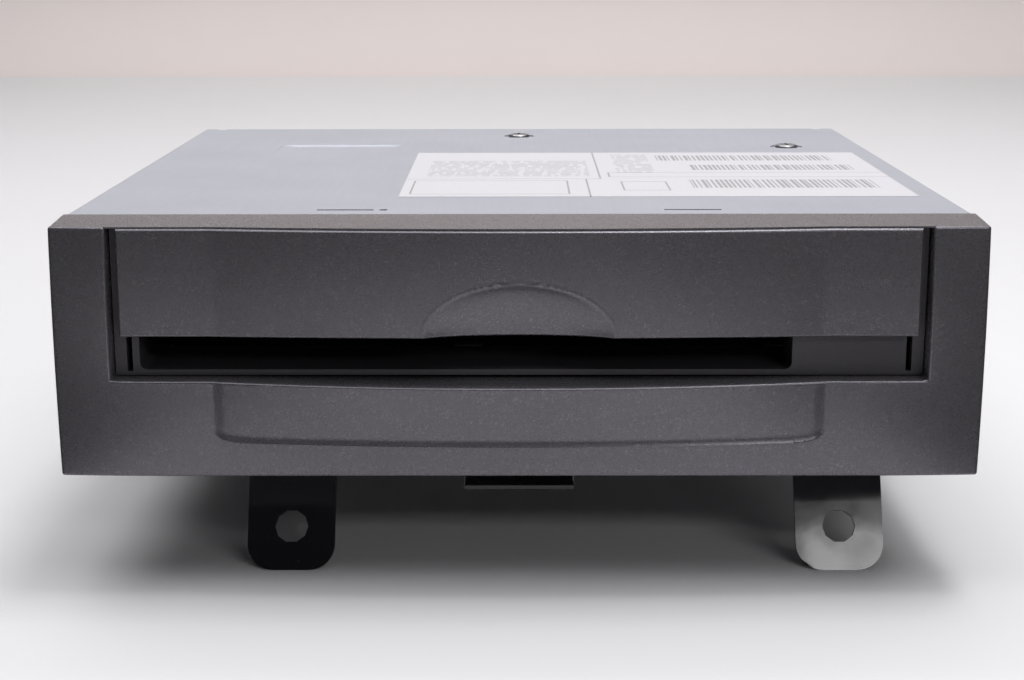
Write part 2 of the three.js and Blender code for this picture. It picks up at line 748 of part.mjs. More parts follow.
// The round aerial socket on its square foot.
function antennaSocket() {
  const z = boardTopZ + antennaRadius + socketWall;
  const y0 = rearY - socketInset;
  const y1 = caseDepth + socketReach + socketWall;
  const foot = block(antennaX - antennaRadius, antennaX + antennaRadius, y0, rearY - socketWall, boardTopZ,
    z);
  const barrel = bar('y', antennaRadius, y0, y1, antennaX, z);
  const bore = bar('y', antennaBore, y1 - socketDepth, y1 + overrun, antennaX, z);
  const pin = bar('y', pinSize, y1 - socketDepth - seatGap, y1 - socketDepth + pinLength, antennaX, z, 8);
  return join(cut(join(foot, barrel), bore), pin);
}

// Places on the deck
const deckHalfWidth = slotWidth / 2 + deckSideRoom;
const deckX0 = slotOffset - deckHalfWidth;
const deckX1 = slotOffset + deckHalfWidth;
const gearPlaneX = deckX1 + gearSetback;
const rollerZ = discFloorZ - rollerRadius - rollerFit;
const gearGap = ((rollerTeeth + idlerTeeth) * gearModule) / 2 + gearBacklash;
const idlerY = rollerY + Math.sqrt(gearGap ** 2 - idlerRise ** 2);
const idlerZ = rollerZ + idlerRise;
const wormZ = idlerZ - ((idlerTeeth + 2) * gearModule) / 2 - wormRadius - gearBacklash;
const motorY = idlerY + motorSetback;
const rodZ = deckTopZ + rodRadius + rodStand;
const sledY = spindleY + sledRest;
const sledTravel = discDiameter / 2 - sledRest - rimMargin;
const rodY0 = spindleY + spindleMotorRadius - rodLead;
const rodY1 = sledY + sledTravel + sledDepth / 2;
const rodPlaces = [slotOffset - rodSpacing / 2, slotOffset + rodSpacing / 2];
const crossHalf = (rodSpacing + postSize) / 2 + 2 * seatGap;
const rackX = slotOffset - crossHalf - rackDepth + gearModule;
const pinionX = rackX - (pinionTeeth * gearModule) / 2 - gearBacklash;
const pinionY = sledY + seatGap;
const pivotY = deckY1 - pivotInset;
const damperPlaces = [deckFrontY + damperSetback, deckY1 - damperSetback].flatMap((y) => [
  [deckX0 + damperInset, y],
  [deckX1 - damperInset, y],
]);

// The deck: a steel tray on four dampers, with rod posts, a rear bridge and the motor plate.
function deckFrame() {
  const floor = block(deckX0, deckX1, deckFrontY, deckY1, deckFloorZ, deckTopZ);
  const walls = [[deckX0, deckX0 + deckSheet], [deckX1 - deckSheet, deckX1]].map(([x0, x1]) => block(x0, x1,
    deckFrontY, deckY1, deckFloorZ, wallTopZ));
  const bridge = block(deckX0, deckX1, deckY1 - bridgeDepth, deckY1, wallTopZ - deckSheet, wallTopZ);
  const ears = [-1, 1].map((side) => {
    const x = slotOffset + side * (pivotHalf - earThickness);
    return block(x - earThickness / 2, x + earThickness / 2, pivotY - 2 * earThickness, deckY1,
      wallTopZ - deckSheet / 2, pivotZ + earThickness);
  });
  const posts = rodPlaces.flatMap((x) => [rodY0, rodY1].map((y) => block(x - postSize / 2, x + postSize / 2,
    y, y + postSize / 2, deckTopZ - deckSheet / 2, rodZ + postSize / 2)));
  const gearEar = block(deckX1 - deckSheet, deckX1, idlerY - idlerRise, idlerY + idlerRise,
    wallTopZ - deckSheet, idlerZ + 2 * shaftRadius + deckSheet);
  const stud = bar('x', shaftRadius, deckX1 - deckSheet / 2, gearPlaneX + gearWidth, idlerY, idlerZ, 16);
  const motorPlate = block(deckX1 - deckSheet / 2, gearPlaneX + motorRadius, motorY - deckSheet, motorY,
    wormZ - motorRadius, wormZ + motorRadius - deckSheet);
  const holes = [
    bar('x', shaftRadius + shaftFit, deckX0 - overrun, deckX1 + overrun, rollerY, rollerZ, 16),
    bar('y', shaftRadius + seatGap, motorY - overrun, motorY + overrun, gearPlaneX, wormZ, 16),
    bar('x', pivotRadius + shaftFit, slotOffset - pivotHalf - overrun, slotOffset + pivotHalf + overrun,
      pivotY, pivotZ, 16),
    bar('z', feedMotorRadius + seatGap, deckFloorZ - overrun, deckTopZ + overrun, pinionX, pinionY),
    ...rodPlaces.map((x) => bar('y', rodRadius + shaftFit, rodY0 - overrun, rodY1 + postSize, x, rodZ, 16)),
  ];
  return cut(join(floor, walls, bridge, ears, posts, gearEar, stud, motorPlate), holes);
}

// A rubber damper with a waist, between the pan and the deck.
function damper([x, y]) {
  const middle = (panFloorZ + deckFloorZ) / 2;
  const neck = damperRadius - damperWaist;
  const profile = [[0, panFloorZ], [damperRadius, panFloorZ], [damperRadius,
    middle - 2 * seatGap - damperWaist],
    [neck, middle - 2 * seatGap], [neck, middle + 2 * seatGap], [damperRadius,
      middle + 2 * seatGap + damperWaist],
    [damperRadius, deckFloorZ], [0, deckFloorZ]];
  return turned('z', profile, x, y, 14);
}

// The ribbed plastic guide above the disc's path.
function upperGuide() {
  const z0 = discZ + guideRise;
  const x0 = deckX0 + deckSheet + panFit;
  const x1 = deckX1 - deckSheet - panFit;
  const y1 = deckFrontY + guideLength;
  const plate = block(x0, x1, deckFrontY, y1, z0, z0 + guideThickness);
  const ribs = steps(x0, x1 - guideThickness, guideRibs - 1).map((x) => block(x, x + guideThickness,
    deckFrontY, y1, z0 + guideThickness / 2, z0 + 2 * guideThickness));
  return join(plate, ribs);
}

// The loading roller's steel shaft, and one of its two tapered rubber sleeves.
function rollerShaft() {
  return bar('x', shaftRadius, deckX0 - deckSheet, gearPlaneX + gearWidth, rollerY, rollerZ, 16);
}

function rollerSleeve(side) {
  const inner = slotOffset + (side * rollerBreak) / 2;
  const outer = slotOffset + side * (slotWidth / 2 - rollerEndGap);
  const bore = shaftRadius + shaftFit;
  const profile = [[bore, inner], [rollerRadius - rollerTaper, inner], [rollerRadius, outer], [bore, outer],
    [bore, inner]];
  if (side < 0) profile.reverse();
  return turned('x', profile, rollerY, rollerZ, 16);
}

// A spur gear's outline about a centre, with the middle of one tooth at the given angle.
const pitch = Math.PI * gearModule;
const addendum = gearModule;
const dedendum = 1.25 * gearModule;
const toothTopShare = 0.13;
const toothFootShare = 0.26;
const rackFootShare = 0.37;

function gearShape(teeth, cx, cy, angle, bore) {
  const pitchRadius = (teeth * gearModule) / 2;
  const at = (radius, turn) => [cx + radius * Math.cos(turn), cy + radius * Math.sin(turn)];
  const points = steps(0, teeth - 1, teeth - 1).flatMap((tooth) => {
    const middle = angle + (tooth * 2 * Math.PI) / teeth;
    const foot = (toothFootShare * 2 * Math.PI) / teeth;
    const top = (toothTopShare * 2 * Math.PI) / teeth;
    return [at(pitchRadius - dedendum, middle - foot), at(pitchRadius + addendum, middle - top),
      at(pitchRadius + addendum, middle + top), at(pitchRadius - dedendum, middle + foot)];
  });
  const shape = new THREE.Shape(points.map(([x, y]) => new THREE.Vector2(x, y)));
  if (bore > 0) {
    const hole = new THREE.Path();
    hole.absarc(cx, cy, bore, 0, 2 * Math.PI);
    shape.holes.push(hole);
  }
  return shape;
}

// The roller's gear and the idler above it, in mesh.
const meshAngle = Math.atan2(idlerRise, idlerY - rollerY);

function rollerGear() {
  const shape = gearShape(rollerTeeth, rollerY, rollerZ, meshAngle, shaftRadius + shaftFit);
  return prism(shape, 'x', gearPlaneX - gearWidth / 2, gearPlaneX + gearWidth / 2);
}

function idlerGear() {
  const angle = meshAngle + Math.PI + Math.PI / idlerTeeth;
  const shape = gearShape(idlerTeeth, idlerY, idlerZ, angle, shaftRadius + shaftFit);
  return prism(shape, 'x', gearPlaneX - gearWidth / 2, gearPlaneX + gearWidth / 2);
}

// The motor's worm under the idler, on a shaft that runs into the motor.
const wormCore = wormRadius - 2 * gearModule;

function motorWorm() {
  const y0 = idlerY - wormLength / 2;
  const threads = Math.floor(wormLength / pitch);
  const tip = motorY + motorLength / 4;
  const ridges = steps(0, threads - 1, threads - 1).flatMap((thread) => {
    const y = y0 + pitch * thread + pitch / 4;
    return [[wormCore, y], [wormRadius, y + pitch / 4], [wormRadius, y + pitch / 2], [wormCore,
      y + (3 * pitch) / 4]];
  });
  const profile = [[0, y0], [wormCore, y0], ...ridges, [wormCore, tip], [0, tip]];
  return turned('y', profile, gearPlaneX, wormZ, 14);
}

function loadingMotor() {
  const y1 = motorY + motorLength;
  const can = bar('y', motorRadius, motorY, y1, gearPlaneX, wormZ);
  const boss = bar('y', motorBoss, y1 - seatGap, y1 + seatGap * 2, gearPlaneX, wormZ, 14);
  const bore = bar('y', wormCore + shaftFit, motorY - overrun, motorY + motorLength / 4 + seatGap,
    gearPlaneX, wormZ, 14);
  return cut(join(can, boss), bore);
}

// The spindle motor on the deck, and the turntable with its centring hub and shaft.
const spindleFootZ = spindleTopZ - spindleMotorHeight / 2;

function spindleMotor() {
  const profile = [[0, deckTopZ], [spindleMotorRadius + spindleFlange, deckTopZ],
    [spindleMotorRadius + spindleFlange, deckTopZ + sheet], [spindleMotorRadius, deckTopZ + sheet],
    [spindleMotorRadius, spindleTopZ - sheet], [spindleMotorRadius - sheet, spindleTopZ], [0, spindleTopZ]];
  const bore = bar('z', spindleShaftRadius + shaftFit, spindleFootZ, spindleTopZ + overrun, slotOffset,
    spindleY, 16);
  return cut(turned('z', profile, slotOffset, spindleY, 24), bore);
}

function turntable() {
  const tableZ = discFloorZ - tableThickness;
  const profile = [[0, spindleFootZ + seatGap], [spindleShaftRadius, spindleFootZ + seatGap],
    [spindleShaftRadius, spindleTopZ + seatGap], [hubRadius, spindleTopZ + seatGap], [hubRadius, tableZ],
    [turntableRadius, tableZ], [turntableRadius, discFloorZ], [hubRadius, discFloorZ],
    [hubRadius - sheet, discFloorZ + hubHeight], [0, discFloorZ + hubHeight]];
  return turned('z', profile, slotOffset, spindleY);
}

// The clamp arm over the disc: a pressed lever with two pivot sleeves and a ring at its end.
function clampArm() {
  const half = pivotHalf - earThickness * 2 - seatGap;
  const rearEndY = pivotY - pivotRadius - armThickness;
  const rearFrontY = rearEndY - armThickness - sleeveWidth;
  const outline = new THREE.Shape().moveTo(slotOffset - armRingRadius, spindleY);
  outline.absarc(slotOffset, spindleY, armRingRadius, Math.PI, 2 * Math.PI);
  outline.lineTo(slotOffset + half, rearFrontY).lineTo(slotOffset + half, rearEndY);
  outline.lineTo(slotOffset - half, rearEndY).lineTo(slotOffset - half, rearFrontY);
  const ring = new THREE.Path();
  ring.absarc(slotOffset, spindleY, clampNeckRadius + clampFit, 0, 2 * Math.PI);
  const lightening = new THREE.Path();
  lightening.absarc(slotOffset, (spindleY + pivotY) / 2, armWindowRadius, 0, 2 * Math.PI);
  outline.holes.push(ring, lightening);
  const sleeves = [-1, 1].map((side) => {
    const [x0, x1] = sidewards(side, half - sleeveWidth, half).map((x) => slotOffset + x);
    const foot = block(x0, x1, rearEndY - 2 * armThickness, pivotY, armPlateZ, pivotZ);
    return join(foot, bar('x', pivotRadius + armThickness, x0, x1, pivotY, pivotZ, 16));
  });
  const bore = bar('x', pivotRadius + pinFit, slotOffset - pivotHalf, slotOffset + pivotHalf, pivotY,
    pivotZ, 16);
  return cut(join(prism(outline, 'z', armPlateZ, armPlateZ + armThickness, 10), sleeves), bore);
}

function clampPin() {
  return bar('x', pivotRadius, slotOffset - pivotHalf - seatGap, slotOffset + pivotHalf + seatGap, pivotY,
    pivotZ, 16);
}

// The clamp disc hangs in the arm's ring between its flange and its button.
function clampDisc() {
  const neckTop = armPlateZ + armThickness + clampFit;
  const profile = [[0, clampFloorZ + hubHeight], [hubRadius + seatGap, clampFloorZ + hubHeight],
    [hubRadius + seatGap, clampFloorZ], [clampRadius, clampFloorZ], [clampRadius, clampFloorZ + clampFlange],
    [clampNeckRadius, clampFloorZ + clampFlange], [clampNeckRadius, neckTop], [clampButtonRadius, neckTop],
    [clampButtonRadius - sheet, neckTop + clampFlange / 2], [0, neckTop + clampFlange / 2]];
  return turned('z', profile, slotOffset, spindleY, 20);
}

// The pickup sled on its two rods, with the rack that the feed pinion drives.
const sledFloorZ = rodZ - rodRadius - armThickness;
const sledTopZ = sledFloorZ + sledHeight;
const crossTopZ = rodZ + rodRadius + armThickness;
const lensY = sledY - sledDepth / 4;

function pickupSled() {
  const body = block(slotOffset - sledWidth / 2, slotOffset + sledWidth / 2, sledY - sledDepth / 2,
    sledY + sledDepth / 2, sledFloorZ, sledTopZ);
  const cross = block(slotOffset - crossHalf, slotOffset + crossHalf, sledY - crossDepth / 2,
    sledY + crossDepth / 2,
    sledFloorZ, crossTopZ);
  const turret = bar('z', 2 * lensRadius, sledTopZ - sledHeight / 2, sledTopZ + lensRise, slotOffset, lensY);
  const well = bar('z', lensRadius + seatGap, sledTopZ + lensRise - lensWell, sledTopZ + overrun,
    slotOffset, lensY);
  const bores = rodPlaces.map((x) => bar('y', rodRadius + pinFit, sledY - sledDepth, sledY + sledDepth, x,
    rodZ, 16));
  return join(cut(join(body, cross, turret), bores, well), rack());
}

// Rack teeth on a strip that runs forward from the sled's arm.
function rack() {
  const back = slotOffset - crossHalf + seatGap;
  const rear = sledY + crossDepth / 2;
  const front = sledY - crossDepth / 2 - rackReach;
  const shape = new THREE.Shape().moveTo(back, rear);
  const first = Math.ceil((pinionY - rear) / pitch);
  const last = Math.floor((pinionY - front) / pitch) - 1;
  for (const tooth of steps(first, last, last - first)) {
    const middle = pinionY - pitch * (tooth + 1 / 2);
    shape.lineTo(rackX + dedendum, middle + pitch * rackFootShare);
    shape.lineTo(rackX - addendum, middle + pitch * toothTopShare);
    shape.lineTo(rackX - addendum, middle - pitch * toothTopShare);
    shape.lineTo(rackX + dedendum, middle - pitch * rackFootShare);
  }
  shape.lineTo(back, front);
  return prism(shape, 'z', sledFloorZ, crossTopZ);
}

function objectiveLens() {
  const z0 = sledTopZ + lensRise - lensWell;
  const z1 = sledTopZ + lensRise;
  const profile = [[0, z0], [lensRadius, z0], [lensRadius, z1], [(2 * lensRadius) / 3,
    z1 + (2 * lensDome) / 3],
    [lensRadius / 3, z1 + lensDome], [0, z1 + lensDome]];
  return turned('z', profile, slotOffset, lensY, 18);
}

function guideRod(x) {
  return bar('y', rodRadius, rodY0 - seatGap, rodY1 + postSize / 2 + seatGap, x, rodZ, 16);
}

// The feed motor sits on the deck through a hole, and its pinion drives the rack.
const flangeTopZ = deckTopZ + feedFlangeHeight - seatGap;

function feedMotor() {
  const flange = bar('z', feedFlangeRadius, deckTopZ, flangeTopZ, pinionX, pinionY);
  const can = bar('z', feedMotorRadius, deckTopZ - feedMotorDrop, deckTopZ + seatGap, pinionX, pinionY);
  const bore = bar('z', feedShaftRadius + shaftFit, deckTopZ - feedMotorDrop / 2, flangeTopZ + overrun,
    pinionX, pinionY, 14);
  return cut(join(flange, can), bore);
}

function feedPinion() {
  const wheel = prism(gearShape(pinionTeeth, pinionX, pinionY, 0, 0), 'z', flangeTopZ + seatGap, crossTopZ);
  const shaft = bar('z', feedShaftRadius, deckTopZ - feedMotorDrop / 2 + seatGap, crossTopZ - seatGap,
    pinionX, pinionY, 14);
  return join(wheel, shaft);
}

// The main board under the deck, with chips and clearance holes for the dampers.
const boardHalf = panHalfWidth - sheet - boardSideRoom;
const boardY0 = caseFrontY + boardSetback;
const boardY1 = rearY - seatGap;

function mainBoard() {
  const z0 = panFloorZ + boardStand;
  const board = block(-boardHalf, boardHalf, boardY0, boardY1, z0, boardTopZ);
  const chips = chipShares.map(([acrossShare, backShare, width, depth]) => {
    const x = boardHalf * acrossShare;
    const y = THREE.MathUtils.lerp(boardY0, boardY1, backShare);
    return block(x - width / 2, x + width / 2, y - depth / 2, y + depth / 2, boardTopZ - seatGap,
      boardTopZ + chipHeight);
  });
  const holes = damperPlaces.map(([x, y]) => bar('z', damperRadius + seatGap + sheet, z0 - overrun,
    boardTopZ + overrun, x, y, 14));
  return cut(join(board, chips), holes);
}

// The upright drive board beside the deck, and the header that carries it.
const sideBoardX = panHalfWidth - sideBoardRoom;
const sideBoardY0 = caseFrontY + sideBoardInset;
const sideBoardY1 = caseDepth - sideBoardInset;
const sideBoardZ = boardTopZ + headerHeight;

function sideBoard() {
  const board = block(sideBoardX, sideBoardX + boardThickness, sideBoardY0, sideBoardY1,
    sideBoardZ, sideBoardZ + sideBoardHeight);
  const chips = sideChipShares.map((backShare) => {
    const y = THREE.MathUtils.lerp(sideBoardY0, sideBoardY1, backShare);
    return block(sideBoardX - chipHeight, sideBoardX + seatGap, y, y + sideChipSize,
      sideBoardZ + headerWidth, sideBoardZ + headerWidth + sideChipSize);
  });
  return join(board, chips);
}

function boardHeader() {
  const middleX = sideBoardX + boardThickness / 2;
  const middleY = (sideBoardY0 + sideBoardY1) / 2;
  const y0 = middleY - headerLength / 2;
  const y1 = middleY + headerLength / 2;
  const body = block(middleX - headerWidth / 2, middleX + headerWidth / 2, y0, y1, boardTopZ,
    sideBoardZ + headerWidth / 2);
  const groove = block(sideBoardX - windowFit, sideBoardX + boardThickness + windowFit, y0 - overrun,
    y1 + overrun,
    sideBoardZ, sideBoardZ + headerWidth);
  return cut(body, groove);
}

// Finishes
const finish = (color, roughness, metalness = 0) => ({ color, roughness, metalness });
const finishes = {
  graphite: finish(0x56545a, 0.55),
  innerPlastic: finish(0x3a383d, 0.6),
  zinc: finish(0xbcc0c8, 0.4, 0.8),
  steel: finish(0xc4c6ca, 0.3, 0.9),
  blackSteel: finish(0x1a191b, 0.25, 0.3),
  paper: finish(0xe2e0e3, 0.7),
  felt: finish(0x121114, 0.95),
  rubber: finish(0x232325, 0.85),
  nylon: finish(0xe6e2d6, 0.5),
  brass: finish(0xc09a4a, 0.3, 0.9),
  board: finish(0x1d5b3a, 0.5),
  blackPlastic: finish(0x1c1c1e, 0.5),
  lens: finish(0x2b3c66, 0.1),
};

const reader = new THREE.Group();

function add(name, finishName, solid) {
  const { color, roughness, metalness } = finishes[finishName];
  const material = new THREE.MeshStandardMaterial({ color, roughness, metalness });
  const mesh = new THREE.Mesh(toGeometry(solid), material);
  mesh.name = name;
  reader.add(mesh);
}

add('front_bezel', 'graphite', frontBezel());
add('slot_door', 'graphite', slotDoor());
add('slot_fascia', 'innerPlastic', slotFascia());
add('felt_upper', 'felt', feltStrip(true));
add('felt_lower', 'felt', feltStrip(false));
add('top_cover', 'zinc', topCover());
add('cover_label', 'paper', coverLabel());
add('chassis_pan', 'zinc', chassisPan());
add('rear_panel', 'zinc', rearPanel());
add('power_socket', 'blackPlastic', boxSocket(powerX, powerSize, powerContacts));
add('data_socket', 'blackPlastic', boxSocket(dataX, dataSize, dataContacts));
add('antenna_socket', 'brass', antennaSocket());
add('bracket_left', 'blackSteel', bracket(bracketLeftX));
add('bracket_right', 'blackSteel', bracket(bracketRightX));
add('front_hook', 'blackSteel', frontHook());
screwSeats.forEach(([x, y], index) => add(`cover_screw_${index + 1}`, 'steel', screw('z', 1,
  coverZ - seatSink, x, y)));
[-1, 1].forEach((side, row) => sideScrewPlaces.forEach((y, column) => {
  add(`side_screw_${row * 2 + column + 1}`, 'steel', screw('x', side, side * halfCase, y,
    coverZ - sideScrewDrop));
}));
[bracketLeftX, bracketRightX].forEach((x, row) => bracketScrewPlaces.forEach((y, column) => {
  add(`bracket_screw_${row * 2 + column + 1}`, 'steel', screw('z', -1, railZ, x, y));
}));
add('deck_frame', 'steel', deckFrame());
damperPlaces.forEach((place, index) => add(`damper_${index + 1}`, 'rubber', damper(place)));
add('upper_guide', 'blackPlastic', upperGuide());
add('roller_shaft', 'steel', rollerShaft());
add('roller_left', 'rubber', rollerSleeve(-1));
add('roller_right', 'rubber', rollerSleeve(1));
add('roller_gear', 'nylon', rollerGear());
add('idler_gear', 'nylon', idlerGear());
add('motor_worm', 'brass', motorWorm());
add('loading_motor', 'steel', loadingMotor());
add('spindle_motor', 'steel', spindleMotor());
add('turntable', 'blackPlastic', turntable());
add('clamp_arm', 'steel', clampArm());
add('clamp_pin', 'steel', clampPin());
add('clamp_disc', 'blackPlastic', clampDisc());
add('pickup_sled', 'steel', pickupSled());
add('objective_lens', 'lens', objectiveLens());
add('guide_rod_left', 'steel', guideRod(rodPlaces[0]));
add('guide_rod_right', 'steel', guideRod(rodPlaces[1]));
add('feed_motor', 'steel', feedMotor());
add('feed_pinion', 'nylon', feedPinion());
add('main_board', 'board', mainBoard());
add('side_board', 'board', sideBoard());
add('board_header', 'blackPlastic', boardHeader());

// The origin is under the middle of the whole reader, on the table.
const reach = new THREE.Box3().setFromObject(reader);
reader.position.y = -(reach.min.y + reach.max.y) / 2;

export default reader;
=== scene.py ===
"""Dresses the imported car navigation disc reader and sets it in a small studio."""

import json
import logging
import math
from collections.abc import Callable, Iterable
from dataclasses import dataclass, field
from enum import Enum

import bmesh
import bpy
from mathutils import Matrix, Vector


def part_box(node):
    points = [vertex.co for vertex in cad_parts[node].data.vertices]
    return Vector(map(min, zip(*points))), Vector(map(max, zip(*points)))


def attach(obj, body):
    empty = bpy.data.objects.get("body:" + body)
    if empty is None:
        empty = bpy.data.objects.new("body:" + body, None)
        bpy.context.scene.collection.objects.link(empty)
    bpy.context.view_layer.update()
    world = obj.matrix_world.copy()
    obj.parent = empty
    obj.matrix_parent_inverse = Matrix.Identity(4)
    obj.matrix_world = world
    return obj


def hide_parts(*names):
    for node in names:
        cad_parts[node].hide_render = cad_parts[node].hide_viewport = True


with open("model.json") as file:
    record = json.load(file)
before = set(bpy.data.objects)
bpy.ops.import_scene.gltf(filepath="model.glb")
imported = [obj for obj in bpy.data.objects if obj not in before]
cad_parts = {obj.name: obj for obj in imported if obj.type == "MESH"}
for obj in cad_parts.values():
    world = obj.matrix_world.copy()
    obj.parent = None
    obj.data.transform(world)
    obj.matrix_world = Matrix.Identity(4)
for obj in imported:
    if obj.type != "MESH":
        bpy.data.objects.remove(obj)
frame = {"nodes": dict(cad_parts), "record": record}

LOG = logging.getLogger("disc_reader")
MM = 0.001
TINY = 1e-6
SHARP = math.radians(32.0)
CREASE = math.radians(20.0)
ROUNDED = math.radians(40.0)
GRAIN_REACH = (0.3, 0.7)
CLOUD_REACH = (0.35, 0.7)
SCREWS = ("cover_screw_1", "cover_screw_2")
SHEET_EDGE = 0.18 * MM
SHEET_NODES = ("chassis_pan", "rear_panel", "bracket_left", "bracket_right", "front_hook")
MOULDED_EDGE = 0.25 * MM
MOULDED_NODES = ("slot_fascia", "power_socket", "data_socket")
Span = tuple[float, float]
Triple = tuple[float, float, float]
Colour = Triple
Shares = tuple[float, float, float, float]


class Turn(Enum):
    """The axis that a piece is made about or cut across."""

    X = Vector((1, 0, 0))
    Y = Vector((0, 1, 0))
    Z = Vector((0, 0, 1))


class Meeting(Enum):
    """What a tool does to the piece that it meets."""

    CUT = "DIFFERENCE"
    JOIN = "UNION"


class Signal:
    """A shader socket that takes part in Python arithmetic."""

    def __init__(self, bench: "Bench", socket: bpy.types.NodeSocket) -> None:
        """Keeps the socket and the bench that its nodes stand on."""
        self.bench = bench
        self.socket = socket

    def _math(self, operation: str, first: object, second: object) -> "Signal":
        """Adds one Math node for an operator."""
        return self.bench.add("ShaderNodeMath", {"operation": operation}, {0: first, 1: second})

    def __add__(self, other: object) -> "Signal":
        """This value plus another."""
        return self._math("ADD", self, other)

    __radd__ = __add__

    def __mul__(self, other: object) -> "Signal":
        """This value times another."""
        return self._math("MULTIPLY", self, other)

    def __sub__(self, other: object) -> "Signal":
        """This value less another."""
        return self._math("SUBTRACT", self, other)

    def __truediv__(self, other: object) -> "Signal":
        """This value over another."""
        return self._math("DIVIDE", self, other)

    def __lt__(self, other: object) -> "Signal":
        """One where this value is less than another, else nought."""
        return self._math("LESS_THAN", self, other)

    def __gt__(self, other: object) -> "Signal":
        """One where this value is more than another, else nought."""
        return self._math("GREATER_THAN", self, other)

    def __mod__(self, other: object) -> "Signal":
        """What is left of this value after whole steps of another, never below nought."""
        return self._math("FLOORED_MODULO", self, other)


class Bench:
    """The node tree of one material, and the ways to add to it."""

    def __init__(self, name: str) -> None:
        """Starts an empty material.

        Args:
            name: The material's name.
        """
        self.material = bpy.data.materials.new(name)
        self.material.use_nodes = True
        self.tree = self.material.node_tree
        self.tree.nodes.clear()

    def add(self, kind: str, settings: dict | None = None, inputs: dict | None = None,
            output: object = 0) -> Signal:
        """Adds a node of any kind.

        Args:
            kind: The node's type name.
            settings: Its properties.
            inputs: Values or signals for its sockets, by name or number.
            output: The name or number of the output wanted.

        Returns:
            The chosen output as a signal.
        """
        node = self.tree.nodes.new(kind)
        for key, value in (settings or {}).items():
            setattr(node, key, value)
        for key, value in (inputs or {}).items():
            self.plug(node.inputs[key], value)
        return Signal(self, node.outputs[output])

    def plug(self, socket: bpy.types.NodeSocket, value: object) -> None:
        """Links a signal to a socket, or sets a plain value on it.

        Args:
            socket: The socket that takes the value.
            value: A signal, a number, or a tuple. A colour of three gets its alpha here.
        """
        if isinstance(value, Signal):
            self.tree.links.new(value.socket, socket)
        elif isinstance(value, tuple) and len(value) == 3 and len(getattr(socket, "default_value", ())) == 4:
            socket.default_value = (*value, 1.0)
        else:
            socket.default_value = value

    def place(self) -> Signal:
        """Object coordinates, which are the reader's own metres."""
        return self.add("ShaderNodeTexCoord", output="Object")

    def axes(self) -> tuple[Signal, Signal, Signal]:
        """Splits the object coordinates.

        Returns:
            X, Y and Z as separate signals.
        """
        first = self.add("ShaderNodeSeparateXYZ", inputs={0: self.place()})
        outputs = first.socket.node.outputs
        return first, Signal(self, outputs[1]), Signal(self, outputs[2])

    def noise(self, scale: float, detail: float = 2.0, stretch: Triple = (1.0, 1.0, 1.0)) -> Signal:
        """Noise over object coordinates, stretched along the axes."""
        where = self.add("ShaderNodeMapping", inputs={"Vector": self.place(), "Scale": stretch})
        return self.add("ShaderNodeTexNoise", inputs={"Vector": where, "Scale": scale, "Detail": detail})

    def ramp(self, value: Signal, low: float, high: float, at_low: float = 0.0,
             at_high: float = 1.0) -> Signal:
        """Spreads a value from one stretch onto another and keeps it inside.

        Args:
            value: The signal to spread.
            low: Where the first stretch starts.
            high: Where it ends.
            at_low: What the low end becomes.
            at_high: What the high end becomes.

        Returns:
            The spread signal.
        """
        stretch = {"From Min": low, "From Max": high, "To Min": at_low, "To Max": at_high}
        return self.add("ShaderNodeMapRange", inputs={"Value": value, **stretch})

    def mix(self, share: object, first: object, second: object) -> Signal:
        """Two colours mixed by a share."""
        return self.add("ShaderNodeMix", {"data_type": "RGBA"}, {0: share, 6: first, 7: second}, 2)

    def bump(self, height: Signal, distance: float, strength: float = 1.0) -> Signal:
        """A normal raised by a height in metres."""
        inputs = {"Height": height, "Distance": distance, "Strength": strength}
        return self.add("ShaderNodeBump", inputs=inputs)

    def finish(self, **inputs: object) -> bpy.types.Material:
        """Ends the material in a Principled shader.

        Args:
            **inputs: Socket names with underscores, and their values or signals.

        Returns:
            The finished material.
        """
        shader = self.tree.nodes.new("ShaderNodeBsdfPrincipled")
        for name, value in inputs.items():
            self.plug(shader.inputs[name.replace("_", " ")], value)
        end = self.tree.nodes.new("ShaderNodeOutputMaterial")
        self.tree.links.new(shader.outputs[0], end.inputs[0])
        return self.material


@dataclass(frozen=True)
class GrainedPlastic:
    """A fine-textured moulding, with pale flecks in dark plastic."""

    name: str
    base: Colour
    fleck: Colour
    roughness: float = 0.28
    metallic: float = 0.55
    wear: Span = (-0.02, 0.03)
    grain: float = 2600.0
    grain_height: float = 0.000018
    fleck_fineness: float = 1.4
    fleck_reach: Span = (0.58, 0.72)
    fleck_share: float = 0.6
    cloud: float = 22.0
    cloud_levels: Span = (0.92, 1.06)

    def make(self) -> bpy.types.Material:
        """Builds the material.

        Returns:
            The plastic, its grain raised and its flecks mixed in.
        """
        bench = Bench(self.name)
        grain = bench.noise(self.grain, detail=3.0)
        flecks = bench.ramp(bench.noise(self.grain * self.fleck_fineness, detail=1.0), *self.fleck_reach)
        cloud = bench.ramp(bench.noise(self.cloud, detail=3.0), *GRAIN_REACH, *self.cloud_levels)
        tinted = bench.mix(flecks * self.fleck_share, self.base, self.fleck)
        colour = bench.add("ShaderNodeVectorMath", {"operation": "SCALE"}, {0: tinted, "Scale": cloud})
        rough = bench.ramp(grain, *GRAIN_REACH, *(self.roughness + stray for stray in self.wear))
        return bench.finish(Base_Color=colour, Roughness=rough, Metallic=self.metallic,
                            Normal=bench.bump(grain, self.grain_height))


